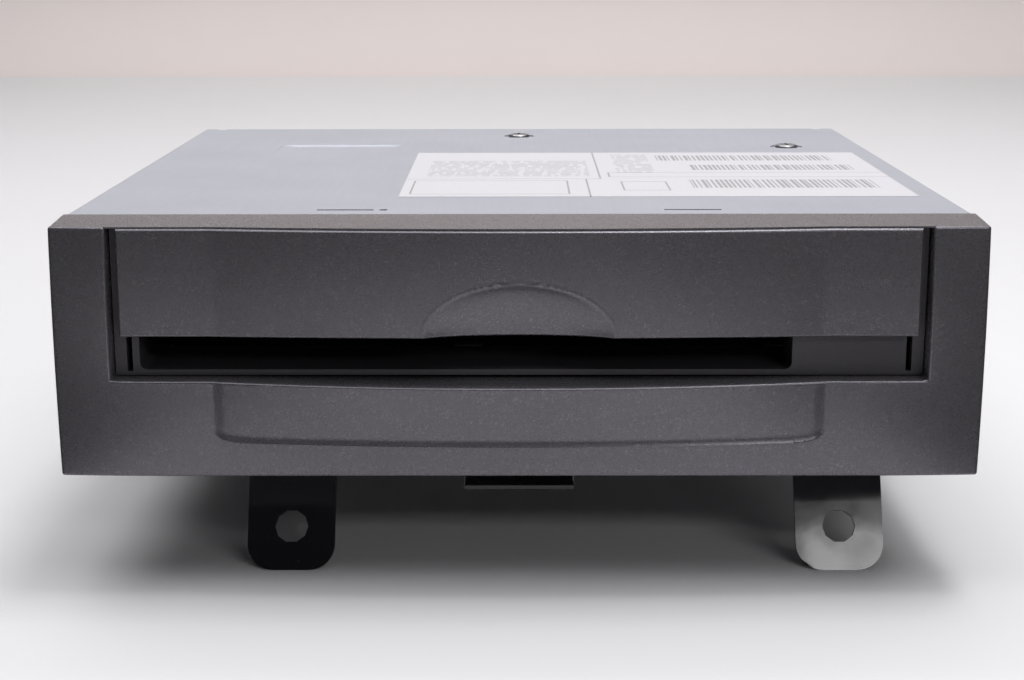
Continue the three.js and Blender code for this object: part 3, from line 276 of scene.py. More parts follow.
@dataclass(frozen=True)
class SheetMetal:
    """Rolled or plated sheet, with a faint grain along it, cloudy plating, fine scuffs and painted shade
    under a chosen height.
    """

    name: str
    base: Colour
    stain: Colour
    roughness: float = 0.46
    metallic: float = 0.35
    wear: Span = (-0.03, 0.05)
    along: Triple = (1.0, 0.04, 1.0)
    lines: float = 900.0
    line_height: float = 0.000005
    line_strength: float = 0.6
    line_share: float = 0.8
    line_reach: Span = (0.25, 0.75)
    cloud: float = 28.0
    cloud_share: float = 0.35
    spangle: float = 420.0
    spangle_share: float = 0.08
    # Painted shade: under this height the colour is pulled towards near-black, by this share.
    painted_shade_below: float = -1.0
    painted_shade_share: float = 0.93
    painted_shade: Colour = (0.045, 0.045, 0.047)

    def make(self) -> bpy.types.Material:
        """Builds the material.

        Returns:
            The sheet, darkened by painted shade under the height given.
        """
        bench = Bench(self.name)
        lines = bench.noise(self.lines, detail=4.0, stretch=self.along)
        cloud = bench.ramp(bench.noise(self.cloud, detail=5.0), *CLOUD_REACH)
        spangle = bench.add("ShaderNodeTexVoronoi", {"feature": "F1"},
                            {"Vector": bench.place(), "Scale": self.spangle}, "Color")
        facets = bench.add("ShaderNodeRGBToBW", inputs={0: spangle})
        colour = bench.mix(cloud * self.cloud_share + facets * self.spangle_share, self.base, self.stain)
        # Painted shade: under the given height the colour turns near-black, standing in for the shadow under
        # the reader.
        colour = bench.mix((bench.axes()[2] < self.painted_shade_below) * self.painted_shade_share, colour, self.painted_shade)
        scuffs = lines * self.line_share + cloud * (1.0 - self.line_share)
        rough = bench.ramp(scuffs, *self.line_reach, *(self.roughness + stray for stray in self.wear))
        return bench.finish(Base_Color=colour, Roughness=rough, Metallic=self.metallic,
                            Normal=bench.bump(lines, self.line_height, self.line_strength))


@dataclass(frozen=True)
class GlossCoat:
    """A glossy dark coat over steel, with dust specks and light scuffs."""

    name: str
    base: Colour
    dust: Colour
    roughness: float = 0.16
    scuff: float = 60.0
    scuff_rise: float = 0.14
    speck: float = 2600.0
    speck_reach: Span = (0.72, 0.8)
    speck_share: float = 0.5
    peel: float = 260.0
    peel_height: float = 0.000006

    def make(self) -> bpy.types.Material:
        """Builds the material.

        Returns:
            The coat, with its orange peel raised and its dust mixed in.
        """
        bench = Bench(self.name)
        peel = bench.noise(self.peel)
        specks = bench.ramp(bench.noise(self.speck, detail=1.0), *self.speck_reach)
        colour = bench.mix(specks * self.speck_share, self.base, self.dust)
        scuffs = bench.noise(self.scuff, detail=4.0)
        rough = bench.ramp(scuffs, *CLOUD_REACH, self.roughness, self.roughness + self.scuff_rise)
        return bench.finish(Base_Color=colour, Roughness=rough, Normal=bench.bump(peel, self.peel_height))


@dataclass(frozen=True)
class PlainStuff:
    """Rubber, nylon, felt, board or glass: one colour that varies a little, with its own grain."""

    name: str
    base: Colour
    shade: Colour
    roughness: float
    grain: float = 700.0
    grain_height: float = 0.00003
    metallic: float = 0.0
    clear: float = 0.0
    wear: Span = (-0.06, 0.05)
    smoothest: float = 0.03

    def make(self) -> bpy.types.Material:
        """Builds the material.

        Returns:
            The plain material, let through by light where it is clear.
        """
        bench = Bench(self.name)
        grain = bench.noise(self.grain, detail=4.0)
        colour = bench.mix(bench.ramp(grain, *CLOUD_REACH), self.base, self.shade)
        low, high = (max(self.smoothest, self.roughness + stray) for stray in self.wear)
        return bench.finish(Base_Color=colour, Roughness=bench.ramp(grain, *GRAIN_REACH, low, high),
                            Metallic=self.metallic, Normal=bench.bump(grain, self.grain_height),
                            Transmission_Weight=self.clear)


@dataclass(frozen=True)
class PrintedPaper:
    """A white paper label, ruled into plain boxes with blocks of upright bars, and no lettering."""

    name: str
    paper: Colour
    ink: Colour
    ink_share: float = 0.55
    line: float = 0.2 * MM
    bar: float = 1.05 * MM
    bar_noise: float = 900.0
    bar_reach: Span = (0.35, 0.65)
    bar_fills: Span = (0.25, 0.75)
    stroke_pitch: float = 2.1 * MM
    stroke_fill: float = 0.3
    stroke_noise: float = 700.0
    stroke_breaks: float = 0.44
    fibres: float = 1400.0
    fibre_height: float = 0.000008
    fibre_rough: Span = (0.42, 0.6)
    frames: tuple[Shares, ...] = (
        (0.02, 0.33, 0.05, 0.32), (0.44, 0.53, 0.12, 0.3), (-0.1, 0.37, -0.1, 0.36), (-0.1, 0.4, 0.36, 1.1),
        (0.42, 1.1, 0.4, 0.5),
    )
    blocks: tuple[Shares, ...] = (
        (0.58, 0.95, 0.17, 0.34), (0.6, 0.95, 0.56, 0.68), (0.54, 0.93, 0.79, 0.92),
    )
    rules: tuple[Shares, ...] = ((0.04, 0.38, 0.42, 0.8), (0.44, 0.52, 0.5, 0.94))

    def make(self) -> bpy.types.Material:
        """Builds the material.

        Returns:
            The paper, with frames, bars and broken strokes where the shares of its size say.
        """
        bench = Bench(self.name)
        low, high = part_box("cover_label")
        x, y, _ = bench.axes()
        across = (x - low.x) / (high.x - low.x)
        back = (y - low.y) / (high.y - low.y)
        line_x, line_y = self.line / (high.x - low.x), self.line / (high.y - low.y)

        def inside(box: Shares, grow_x: float = 0.0, grow_y: float = 0.0) -> Signal:
            """One inside a box given as shares of the label, else nought."""
            left, right, near, far = box
            in_width = (across > left - grow_x) * (across < right + grow_x)
            return in_width * ((back > near - grow_y) * (back < far + grow_y))

        ink = 0.0
        for box in self.frames:
            ink = ink + (inside(box, line_x, line_y) - inside(box, -line_x, -line_y))
        widths = bench.noise(self.bar_noise, 0.0, (1.0, 0.0, 0.0))
        fill = bench.ramp(widths, *self.bar_reach, *self.bar_fills)
        bars = ((x % self.bar) / self.bar) < fill
        strokes = ((y % self.stroke_pitch) / self.stroke_pitch) < self.stroke_fill
        broken = bench.noise(self.stroke_noise, stretch=(1.0, 0.2, 1.0)) > self.stroke_breaks
        for box in self.blocks:
            ink = ink + inside(box) * bars
        for box in self.rules:
            ink = ink + inside(box) * strokes * broken
        fibres = bench.noise(self.fibres, detail=3.0)
        colour = bench.mix(bench.ramp(ink, 0.0, 1.0, 0.0, self.ink_share), self.paper, self.ink)
        rough = bench.ramp(fibres, *GRAIN_REACH, *self.fibre_rough)
        return bench.finish(Base_Color=colour, Roughness=rough, Normal=bench.bump(fibres, self.fibre_height))


GRAPHITE = GrainedPlastic("graphite_plastic", (0.13, 0.123, 0.137), (0.32, 0.31, 0.33))
INNER = GrainedPlastic("inner_plastic", (0.075, 0.07, 0.08), (0.12, 0.115, 0.13),
                       roughness=0.42, metallic=0.3)
PAPER = PrintedPaper("white_label", (0.66, 0.645, 0.67), (0.09, 0.09, 0.1))
# The zinc sheet carries painted shade on the pan's underside, below 26.2 mm, which deepens the shadow under
# the reader.
ZINC = SheetMetal("zinc_sheet", (0.485, 0.495, 0.552), (0.39, 0.4, 0.455), painted_shade_below=26.2 * MM)
BRIGHT = SheetMetal("bright_steel", (0.4, 0.4, 0.41), (0.28, 0.28, 0.29), roughness=0.3, metallic=0.9)
CAST = SheetMetal("cast_sled", (0.5, 0.5, 0.52), (0.36, 0.36, 0.38),
                  roughness=0.5, metallic=0.8, along=(1.0, 1.0, 1.0))
BLACK_STEEL = GlossCoat("black_steel", (0.008, 0.007, 0.009), (0.1, 0.1, 0.1), roughness=0.07)
BLACK_PLASTIC = PlainStuff("black_plastic", (0.02, 0.02, 0.021), (0.03, 0.03, 0.031), 0.45)
FELT = PlainStuff("black_felt", (0.014, 0.013, 0.015), (0.03, 0.028, 0.032), 0.95, 2400.0, 0.0003)
RUBBER = PlainStuff("black_rubber", (0.018, 0.018, 0.018), (0.03, 0.03, 0.03), 0.8)
NYLON = PlainStuff("white_nylon", (0.74, 0.71, 0.62), (0.66, 0.63, 0.54), 0.4)
BRASS = PlainStuff("brass_metal", (0.62, 0.45, 0.2), (0.5, 0.36, 0.15), 0.28, metallic=1.0)
BOARD = PlainStuff("green_board", (0.02, 0.12, 0.06), (0.03, 0.17, 0.09), 0.35)
LENS = PlainStuff("lens_glass", (0.1, 0.14, 0.3), (0.08, 0.12, 0.3), 0.05, clear=0.5)
FINISHES = (GRAPHITE, INNER, PAPER, ZINC, BRIGHT, CAST, BLACK_STEEL, BLACK_PLASTIC, FELT, RUBBER, NYLON,
            BRASS, BOARD, LENS)


def clamp(value: float) -> float:
    """The value kept from 0 to 1."""
    return min(1.0, max(0.0, value))


def ease(share: float) -> float:
    """A share from 0 to 1 that starts and ends gently."""
    return share * (share * (3.0 - 2.0 * share))


def about(middle: float, width: float) -> Span:
    """The low and high ends of a width about its middle."""
    return middle - width / 2, middle + width / 2


def spread(low: float, high: float, count: int) -> list[float]:
    """Even places from low to high."""
    return [low + (high - low) * index / count for index in range(count + 1)]


def smooth(data: bpy.types.Mesh) -> None:
    """Shades a mesh smooth up to the angle at which its edges count as sharp."""
    data.shade_smooth()
    data.set_sharp_from_angle(angle=SHARP)


def new_object(name: str, mesh: bmesh.types.BMesh) -> bpy.types.Object:
    """Turns a bmesh into a linked object, smooth up to an angle.

    Args:
        name: The piece's name.
        mesh: The finished bmesh, which is freed.

    Returns:
        The new object at the origin.
    """
    data = bpy.data.meshes.new(name)
    mesh.to_mesh(data)
    mesh.free()
    smooth(data)
    piece = bpy.data.objects.new(name, data)
    bpy.context.scene.collection.objects.link(piece)
    return piece


def level(piece: bpy.types.Object) -> bpy.types.Object:
    """Keeps a piece's large flat faces flat in the shading beside its fillets.

    Args:
        piece: The finished piece.

    Returns:
        The same piece, with a live modifier that weighs its normals by face area.
    """
    weigh = piece.modifiers.new("level", "WEIGHTED_NORMAL")
    weigh.weight = 100
    weigh.keep_sharp = True
    return piece


def slab(across: Span, along: Span, up: Span) -> bmesh.types.BMesh:
    """Makes a box between two places on each axis.

    Args:
        across: Its low and high X.
        along: Its low and high Y.
        up: Its low and high Z.

    Returns:
        The box's bmesh.
    """
    low, high = (Vector(corner) for corner in zip(across, along, up))
    mesh = bmesh.new()
    bmesh.ops.create_cube(mesh, size=1.0)
    bmesh.ops.scale(mesh, vec=high - low, verts=mesh.verts)
    bmesh.ops.translate(mesh, vec=(low + high) / 2, verts=mesh.verts)
    return mesh


def rod(turn: Turn, radius: float, centre: Triple, length: float, sides: int = 32) -> bmesh.types.BMesh:
    """Makes a rod along an axis.

    Args:
        turn: The axis it lies along.
        radius: Its radius in metres.
        centre: The place of its middle.
        length: Its length in metres.
        sides: How many faces it has around.

    Returns:
        The rod's bmesh.
    """
    mesh = bmesh.new()
    bmesh.ops.create_cone(mesh, cap_ends=True, segments=sides, radius1=radius, radius2=radius, depth=length)
    turned = Turn.Z.value.rotation_difference(turn.value).to_matrix()
    bmesh.ops.rotate(mesh, cent=(0, 0, 0), matrix=turned, verts=mesh.verts)
    bmesh.ops.translate(mesh, vec=centre, verts=mesh.verts)
    return mesh


def gather(parts: Iterable[bmesh.types.BMesh]) -> bmesh.types.BMesh:
    """Puts separate bmeshes into one.

    Args:
        parts: The bmeshes, which are freed.

    Returns:
        One bmesh that holds them all.
    """
    whole = bmesh.new()
    for part in parts:
        data = bpy.data.meshes.new("part")
        part.to_mesh(data)
        part.free()
        whole.from_mesh(data)
        bpy.data.meshes.remove(data)
    return whole


def combine(piece: bpy.types.Object, tool: bmesh.types.BMesh, meeting: Meeting) -> None:
    """Cuts a tool from a piece, or joins it on, and leaves the piece with a plain mesh.

    Args:
        piece: The object to change.
        tool: The tool's bmesh, which is freed.
        meeting: Whether the tool cuts or joins.
    """
    helper = new_object("helper", tool)
    modifier = piece.modifiers.new("combine", "BOOLEAN")
    modifier.object = helper
    modifier.operation = meeting.value
    modifier.solver = "EXACT"
    bpy.context.view_layer.update()
    graph = bpy.context.evaluated_depsgraph_get()
    changed = bpy.data.meshes.new_from_object(piece.evaluated_get(graph))
    piece.modifiers.clear()
    piece.data = changed
    bpy.data.objects.remove(helper)


def round_edges(mesh: bmesh.types.BMesh, wanted: Callable[[bmesh.types.BMEdge], bool], radius: float,
                segments: int) -> None:
    """Rounds the edges that are a true crease and pass a test.

    Args:
        mesh: The bmesh to change.
        wanted: True for each edge to round.
        radius: The fillet's width in metres.
        segments: How many faces the fillet has across.
    """
    edges = [edge for edge in mesh.edges if len(edge.link_faces) == 2
             and edge.calc_face_angle(0.0) > CREASE and wanted(edge)]
    bmesh.ops.bevel(mesh, geom=edges, offset=radius, segments=segments, profile=0.5, affect="EDGES",
                    material=-1, clamp_overlap=True)


def slice_at(mesh: bmesh.types.BMesh, turn: Turn, places: Iterable[float]) -> None:
    """Adds edges where planes cross a mesh.

    Args:
        mesh: The bmesh to change.
        turn: The axis that the planes are square to.
        places: Where the planes stand on that axis.
    """
    for place in places:
        bmesh.ops.bisect_plane(mesh, geom=mesh.verts[:] + mesh.edges[:] + mesh.faces[:], dist=1e-7,
                               plane_co=turn.value * place, plane_no=turn.value)


def soften(node: bpy.types.Object, width: float) -> None:
    """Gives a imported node's edges a small live fillet.

    Args:
        node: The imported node's object.
        width: The fillet's width in metres.
    """
    weld = node.modifiers.new("weld", "WELD")
    weld.merge_threshold = 2 * TINY
    bevel = node.modifiers.new("edges", "BEVEL")
    bevel.width = width
    bevel.segments = 3
    bevel.limit_method = "ANGLE"
    bevel.angle_limit = ROUNDED
    bevel.use_clamp_overlap = True


def dress(piece: bpy.types.Object, material: bpy.types.Material) -> None:
    """Gives a piece its one material."""
    piece.data.materials.clear()
    piece.data.materials.append(material)


@dataclass
class FaceForm:
    """The shape that the bezel and the door share: a crowned face with a raised middle that ends in a chin.

    Attributes:
        crown: How far the whole face swells at mid-height.
        bulge_half: Half the width of the raised middle.
        bulge_top: How far the raised middle stands out at the bezel's top.
        bulge_ledge: How far it stands out at the ledge under the door.
        ledge_drop: How far the ledge lies under the bezel's top.
        ledge_sag: How far the ledge dips in the middle.
        ledge_reach: How far above and below the ledge the dip is felt.
        chin_drop: How far the chin's line lies under the bezel's top.
        chin_sag: How far the chin's line dips in the middle.
        undercut: The height over which the face falls back at the chin's line.
        band_height: The height of the flared band over the chin's line.
        band: How far the band flares out.
        corner: The width and height of the raised middle's rounded lower corners.
        step: The height of the edge at the ends of the raised middle.
        step_run: The width of that edge.
        flat_half: Half the width past which the face falls back to its ends.
        end_sag: How far it falls back.
        scoop_half: Half the width of the thumb scoop.
        scoop_height: Its height.
        scoop_depth: Its depth.
        rim: The width over which its rim is rounded.
        bead: The height of the fine bead along the rim.
        tab_setback: How far the face plane lies in front of the brackets' front tabs.
        face_y: The face plane's place, read from the frame.
        low_z: The height of the bezel's foot, read from the frame.
        top_z: The height of the bezel's top, read from the frame.
        half_width: Half the bezel's width at its back, read from the frame.
    """

    crown: float = 1.0 * MM
    bulge_half: float = 58.8 * MM
    bulge_top: float = 2.9 * MM
    bulge_ledge: float = 2.3 * MM
    ledge_drop: float = 29.6 * MM
    ledge_sag: float = 0.8 * MM
    ledge_reach: float = 3.0 * MM
    chin_drop: float = 42.0 * MM
    chin_sag: float = 0.6 * MM
    undercut: float = 0.3 * MM
    band_height: float = 2.0 * MM
    band: float = 0.65 * MM
    corner: Span = (8.0 * MM, 1.9 * MM)
    step: float = 0.2 * MM
    step_run: float = 2.5 * MM
    flat_half: float = 66.0 * MM
    end_sag: float = 0.9 * MM
    scoop_half: float = 18.2 * MM
    scoop_height: float = 10.5 * MM
    scoop_depth: float = 4.0 * MM
    rim: float = 0.3 * MM
    bead: float = 0.07 * MM
    tab_setback: float = 14.0 * MM
    face_y: float = field(init=False)
    low_z: float = field(init=False)
    top_z: float = field(init=False)
    half_width: float = field(init=False)

    def __post_init__(self) -> None:
        """Reads the face's place and height from the frame."""
        low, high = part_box("front_bezel")
        self.low_z, self.top_z, self.half_width = low.z, high.z, high.x
        self.face_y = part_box("bracket_left")[0].y - self.tab_setback

    @property
    def ledge_z(self) -> float:
        """The height of the ledge under the door."""
        return self.top_z - self.ledge_drop

    @property
    def chin_z(self) -> float:
        """The height of the chin's line, before it dips."""
        return self.top_z - self.chin_drop

    def share(self, x: float) -> float:
        """How far the raised middle stands out at a place across the face, from 0 to 1."""
        return max(0.0, 1.0 - (x / self.bulge_half) ** 2)

    def depth(self, x: float, z: float) -> float:
        """Says how far the face stands forward of its plane, before its rows are bent to the chin's line.

        Args:
            x: The place across the face.
            z: The place's height.

        Returns:
            The distance in metres.
        """
        middle, half = (self.low_z + self.top_z) / 2, (self.top_z - self.low_z) / 2
        crown = self.crown * (1.0 - ((z - middle) / half) ** 2)
        bulge = self.bulge_ledge + (self.bulge_top - self.bulge_ledge) * (z - self.ledge_z) / self.ledge_drop
        swell = (bulge - self.step) * self.share(x)
        if z > self.ledge_z + TINY:
            return crown + swell
        # Under the ledge the raised middle has an edge at its ends, round lower corners and a flared foot.
        aside = max(0.0, self.bulge_half - abs(x))
        turned = max(0.0, 1.0 - aside / self.corner[0])
        above = z - self.chin_z - self.corner[1] * (1.0 - math.sqrt(1.0 - turned ** 2))
        edge = ease(min(1.0, aside / self.step_run))
        flare = clamp(1.0 - above / self.band_height) ** 2
        return crown + (swell + self.step * edge + self.band * edge * flare) * clamp(above / self.undercut)

    def bend(self, mesh: bmesh.types.BMesh, back: float) -> None:
        """Pushes a flat front out to the face's shape.

        Args:
            mesh: The sliced bmesh.
            back: How far behind the face plane the push has died away, in metres.
        """
        for vert in mesh.verts:
            fade = clamp(1.0 - (vert.co.y - self.face_y) / back)
            if fade <= 0.0:
                continue
            x, z = vert.co.x, vert.co.z
            sink = 0.0
            if z < self.ledge_z - TINY:
                foot = clamp((z - self.low_z) / (self.chin_z - self.low_z))
                over = clamp((self.ledge_z - z) / (self.ledge_z - self.chin_z))
                sink = self.chin_sag * foot * over ** 0.5
            if z < self.ledge_z + MM:
                sink += self.ledge_sag * max(0.0, 1.0 - abs(z - self.ledge_z) / self.ledge_reach)
            ends = max(0.0, abs(x) - self.flat_half) / (self.half_width - self.flat_half)
            vert.co.y -= (self.depth(x, z) - self.end_sag * ends ** 2) * fade
            vert.co.z -= sink * self.share(x) * fade

    def scoop(self, x: float, z: float, foot: float) -> float:
        """Says how far the thumb scoop sinks the door's front at a place.

        Args:
            x: The place across the door.
            z: The place's height.
            foot: The height of the door's foot.

        Returns:
            The sink in metres, a little below nought on the rim's fine bead.
        """
        # The scoop is the upper half of a long ball, whose middle stands in front of the door's foot.
        widen = 2.0 / math.sqrt(3.0)
        aside, up = x / (self.scoop_half * widen), (z - foot) / (self.scoop_height * widen)
        inside = math.sqrt(max(0.0, 1.0 - aside ** 2 - up ** 2))
        ball = self.depth(0.0, foot) + self.scoop_depth - 2 * self.scoop_depth * inside
        gap = self.depth(x, z) - ball
        near = max(0.0, self.rim - abs(gap)) / self.rim
        bead = self.bead * max(0.0, 1.0 - abs(gap + self.rim) / self.rim)
        return max(0.0, gap) + near * near * self.rim / 4 - bead


@dataclass
class FrontPanel:
    """The bezel and its sliding door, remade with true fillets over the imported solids.

    Attributes:
        form: The face that both share.
        pillar: The width of the bezel beside the door's bay.
        draft: How much narrower each side is in front than at the back.
        wall: The bezel's wall.
        well: The depth of the bay.
        fillet: The rounding of the bezel's edges.
        lip: The bevel along the ledge under the bay.
        gap: The play between the front panel and the cover behind it, and the reach of a point's search.
        slack: How near a point has to lie to count as on the skin.
        margin: How far from the bezel's foot and top its rows of faces start.
        door_wall: The thickness of the door's front.
        door_fillet: The rounding of its edges.
        door_ends: How far from the door's foot and top its rows of faces start.
        scoop_margin: How far past the scoop the fine faces go on.
        lid_back: How far the top bar lies behind the face's curve.
        lid_seat: How far the top bar runs into the bezel at its ends and back.
        lid_clear: The play between the top bar and the door under it.
        lid_proud: How far the top bar stands over the bezel's top.
        lug_inset: How far the door's lugs lie inside its outline.
        lug_thick: Their thickness.
        bezel_columns: How many columns of faces the bezel has at each lower corner of the raised middle,
            between them, and at each end of the bezel.
        bezel_rows: How many rows it has under the chin's line, in the flared band and over it.
        door_columns: How many columns the door has at each side of the scoop, and in it.
        door_rows: How many rows it has beside the scoop, and over it.
        lid_columns: How many columns the top bar has.
    """

    form: FaceForm
    pillar: float = 10.8 * MM
    draft: float = 1.25 * MM
    wall: float = 2.4 * MM
    well: float = 7.6 * MM
    fillet: float = 0.5 * MM
    lip: float = 0.6 * MM
    gap: float = 0.3 * MM
    slack: float = 0.1 * MM
    margin: float = 2.0 * MM
    door_wall: float = 2.3 * MM
    door_fillet: float = 0.45 * MM
    door_ends: Span = (0.5 * MM, 0.6 * MM)
    scoop_margin: float = 2.0 * MM
    lid_back: float = 0.6 * MM
    lid_seat: float = 0.6 * MM
    lid_clear: float = 0.03 * MM
    lid_proud: float = 0.02 * MM
    lug_inset: float = 1.0 * MM
    lug_thick: float = 0.6 * MM
    bezel_columns: tuple[int, int, int] = (25, 50, 6)
    bezel_rows: tuple[int, int, int] = (4, 22, 20)
    door_columns: tuple[int, int] = (20, 110)
    door_rows: tuple[int, int] = (36, 6)
    lid_columns: int = 80

    @property
    def half(self) -> float:
        """Half the width of the bezel's face, in front of the draft."""
        return self.form.half_width - self.draft

    @property
    def bay(self) -> float:
        """Half the width of the bay that the door slides in."""
        return self.half - self.pillar

    def _shell(self) -> bpy.types.Object:
        """Builds the bezel's plain body.

        Returns:
            A tapered shell, open behind, with the bay cut into its front.
        """
        form, face = self.form, self.form.face_y
        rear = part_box("top_cover")[0].y - self.gap
        mesh = slab((-self.half, self.half), (face, rear), (form.low_z, form.top_z))
        for vert in mesh.verts:
            if vert.co.y > face + self.gap:
                vert.co.x *= form.half_width / self.half
        body = new_object("bezel_shell", mesh)
        inner = self.half - self.wall
        floor = inner + MM
        bottom = form.ledge_z - self.wall
        combine(body, slab((-inner, inner), (face + self.wall, rear + self.wall),
                           (form.low_z + self.wall, form.top_z - self.wall)), Meeting.CUT)
        combine(body, slab((-floor, floor), (face + MM, rear - self.wall), (bottom, form.ledge_z)),
                Meeting.JOIN)
        for side in (-1, 1):
            across = tuple(sorted((side * self.bay, side * (self.bay + self.wall))))
            combine(body, slab(across, (face + MM, rear - self.wall), (form.ledge_z - MM, form.top_z - MM)),
                    Meeting.JOIN)
        combine(body, slab((-self.bay, self.bay), (face - MM, face + self.well),
                           (form.ledge_z, form.top_z + MM)), Meeting.CUT)
        return body

    def _on_ledge(self, edge: bmesh.types.BMEdge) -> bool:
        """True for the ledge's front edge."""
        return all(abs(vert.co.z - self.form.ledge_z) < self.gap and vert.co.y < self.form.face_y + self.gap
                   for vert in edge.verts)

    def _outside(self, edge: bmesh.types.BMEdge) -> bool:
        """True for the edges that a hand can reach from the front."""
        return all(vert.co.y < self.form.face_y + MM or self._skin(vert.co) for vert in edge.verts)

    def _skin(self, place: Vector) -> bool:
        """Says whether a point lies on the outer skin of the bezel's two sides, past the bay.

        Args:
            place: The point.

        Returns:
            True for a point on the skin.
        """
        on_side = abs(place.x) > self.half - self.slack
        on_foot = abs(place.z - self.form.low_z) < self.slack
        on_top = abs(place.z - self.form.top_z) < self.slack
        return abs(place.x) > self.bay - MM and (on_side or on_foot or on_top)

    def bezel(self) -> bpy.types.Object:
        """Builds the bezel: a tapered shell with an open bay, rounded edges and the bent face.

        Returns:
            The finished bezel.
        """
        form = self.form
        body = self._shell()
        mesh = bmesh.new()
        mesh.from_mesh(body.data)
        bpy.data.objects.remove(body)
        bmesh.ops.remove_doubles(mesh, verts=mesh.verts, dist=TINY)
        bmesh.ops.dissolve_limit(mesh, angle_limit=math.radians(1.0), verts=mesh.verts, edges=mesh.edges)
        round_edges(mesh, self._on_ledge, self.lip, 1)
        round_edges(mesh, self._outside, self.fillet, 5)
        corner, middle, end = self.bezel_columns
        inner = form.bulge_half - form.corner[0]
        slice_at(mesh, Turn.X, spread(-form.bulge_half, -inner, corner) + spread(-inner, inner, middle)[1:-1]
                 + spread(inner, form.bulge_half, corner))
        for side in (-1, 1):
            slice_at(mesh, Turn.X, spread(side * form.flat_half, side * (self.half - 2 * self.fillet), end))
        foot, flare, upper = self.bezel_rows
        band = form.chin_z + form.corner[1] + form.band_height
        slice_at(mesh, Turn.Z, spread(form.low_z + self.margin, form.chin_z, foot)
                 + spread(form.chin_z, band, flare)[1:] + spread(band, form.top_z - self.margin, upper)[1:])
        form.bend(mesh, self.wall)
        return level(new_object("bezel_moulding", mesh))

    def door(self) -> bpy.types.Object:
        """Builds the door: rounded edges, the bent face and the thumb scoop.

        Returns:
            The finished front of the door.
        """
        form = self.form
        low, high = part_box("slot_door")
        mesh = slab((low.x, high.x), (form.face_y, form.face_y + self.door_wall), (low.z, high.z))
        round_edges(mesh, lambda edge: all(vert.co.y < form.face_y + MM for vert in edge.verts),
                    self.door_fillet, 4)
        side, middle = self.door_columns
        fine = form.scoop_half + self.scoop_margin
        slice_at(mesh, Turn.X, spread(-form.bulge_half, -fine, side) + spread(-fine, fine, middle)[1:-1]
                 + spread(fine, form.bulge_half, side))
        beside, over = self.door_rows
        tall = low.z + form.scoop_height + self.scoop_margin
        slice_at(mesh, Turn.Z, spread(low.z + self.door_ends[0], tall, beside)
                 + spread(tall, high.z - self.door_ends[1], over)[1:])
        for vert in mesh.verts:
            fade = clamp(1.0 - (vert.co.y - form.face_y) / self.door_wall)
            push = form.depth(vert.co.x, vert.co.z) - form.scoop(vert.co.x, vert.co.z, low.z)
            vert.co.y -= push * fade
        return level(new_object("door_moulding", mesh))

    def lid(self) -> bpy.types.Object:
        """Builds the bezel's thin top bar, which runs forward over the door to just behind its curve.

        Returns:
            The finished bar.
        """
        form = self.form
        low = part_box("slot_door")[1].z + self.lid_clear
        ends = self.bay + self.lid_seat
        mesh = slab((-ends, ends), (form.face_y, form.face_y + self.well + self.lid_seat),
                    (low, form.top_z + self.lid_proud))
        slice_at(mesh, Turn.X, spread(-self.bay, self.bay, self.lid_columns))
        for vert in mesh.verts:
            if vert.co.y > form.face_y + MM:
                continue
            in_bay = abs(vert.co.x) < self.bay + self.slack
            push = form.depth(vert.co.x, form.top_z) - self.lid_back if in_bay else -2 * self.lid_back
            vert.co.y -= push
        return level(new_object("bezel_lid", mesh))

    def lugs(self) -> bpy.types.Object:
        """Builds the door's two rear lugs, which run in the fascia's tracks.

        Returns:
            Both lugs as one piece.
        """
        low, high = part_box("slot_door")
        front = self.form.face_y + self.door_wall - self.gap
        bars = [slab(about(side * (high.x - self.lug_inset), self.lug_thick), (front, high.y),
                     (low.z + self.lug_inset, high.z - self.lug_inset)) for side in (-1, 1)]
        return new_object("door_lugs", gather(bars))


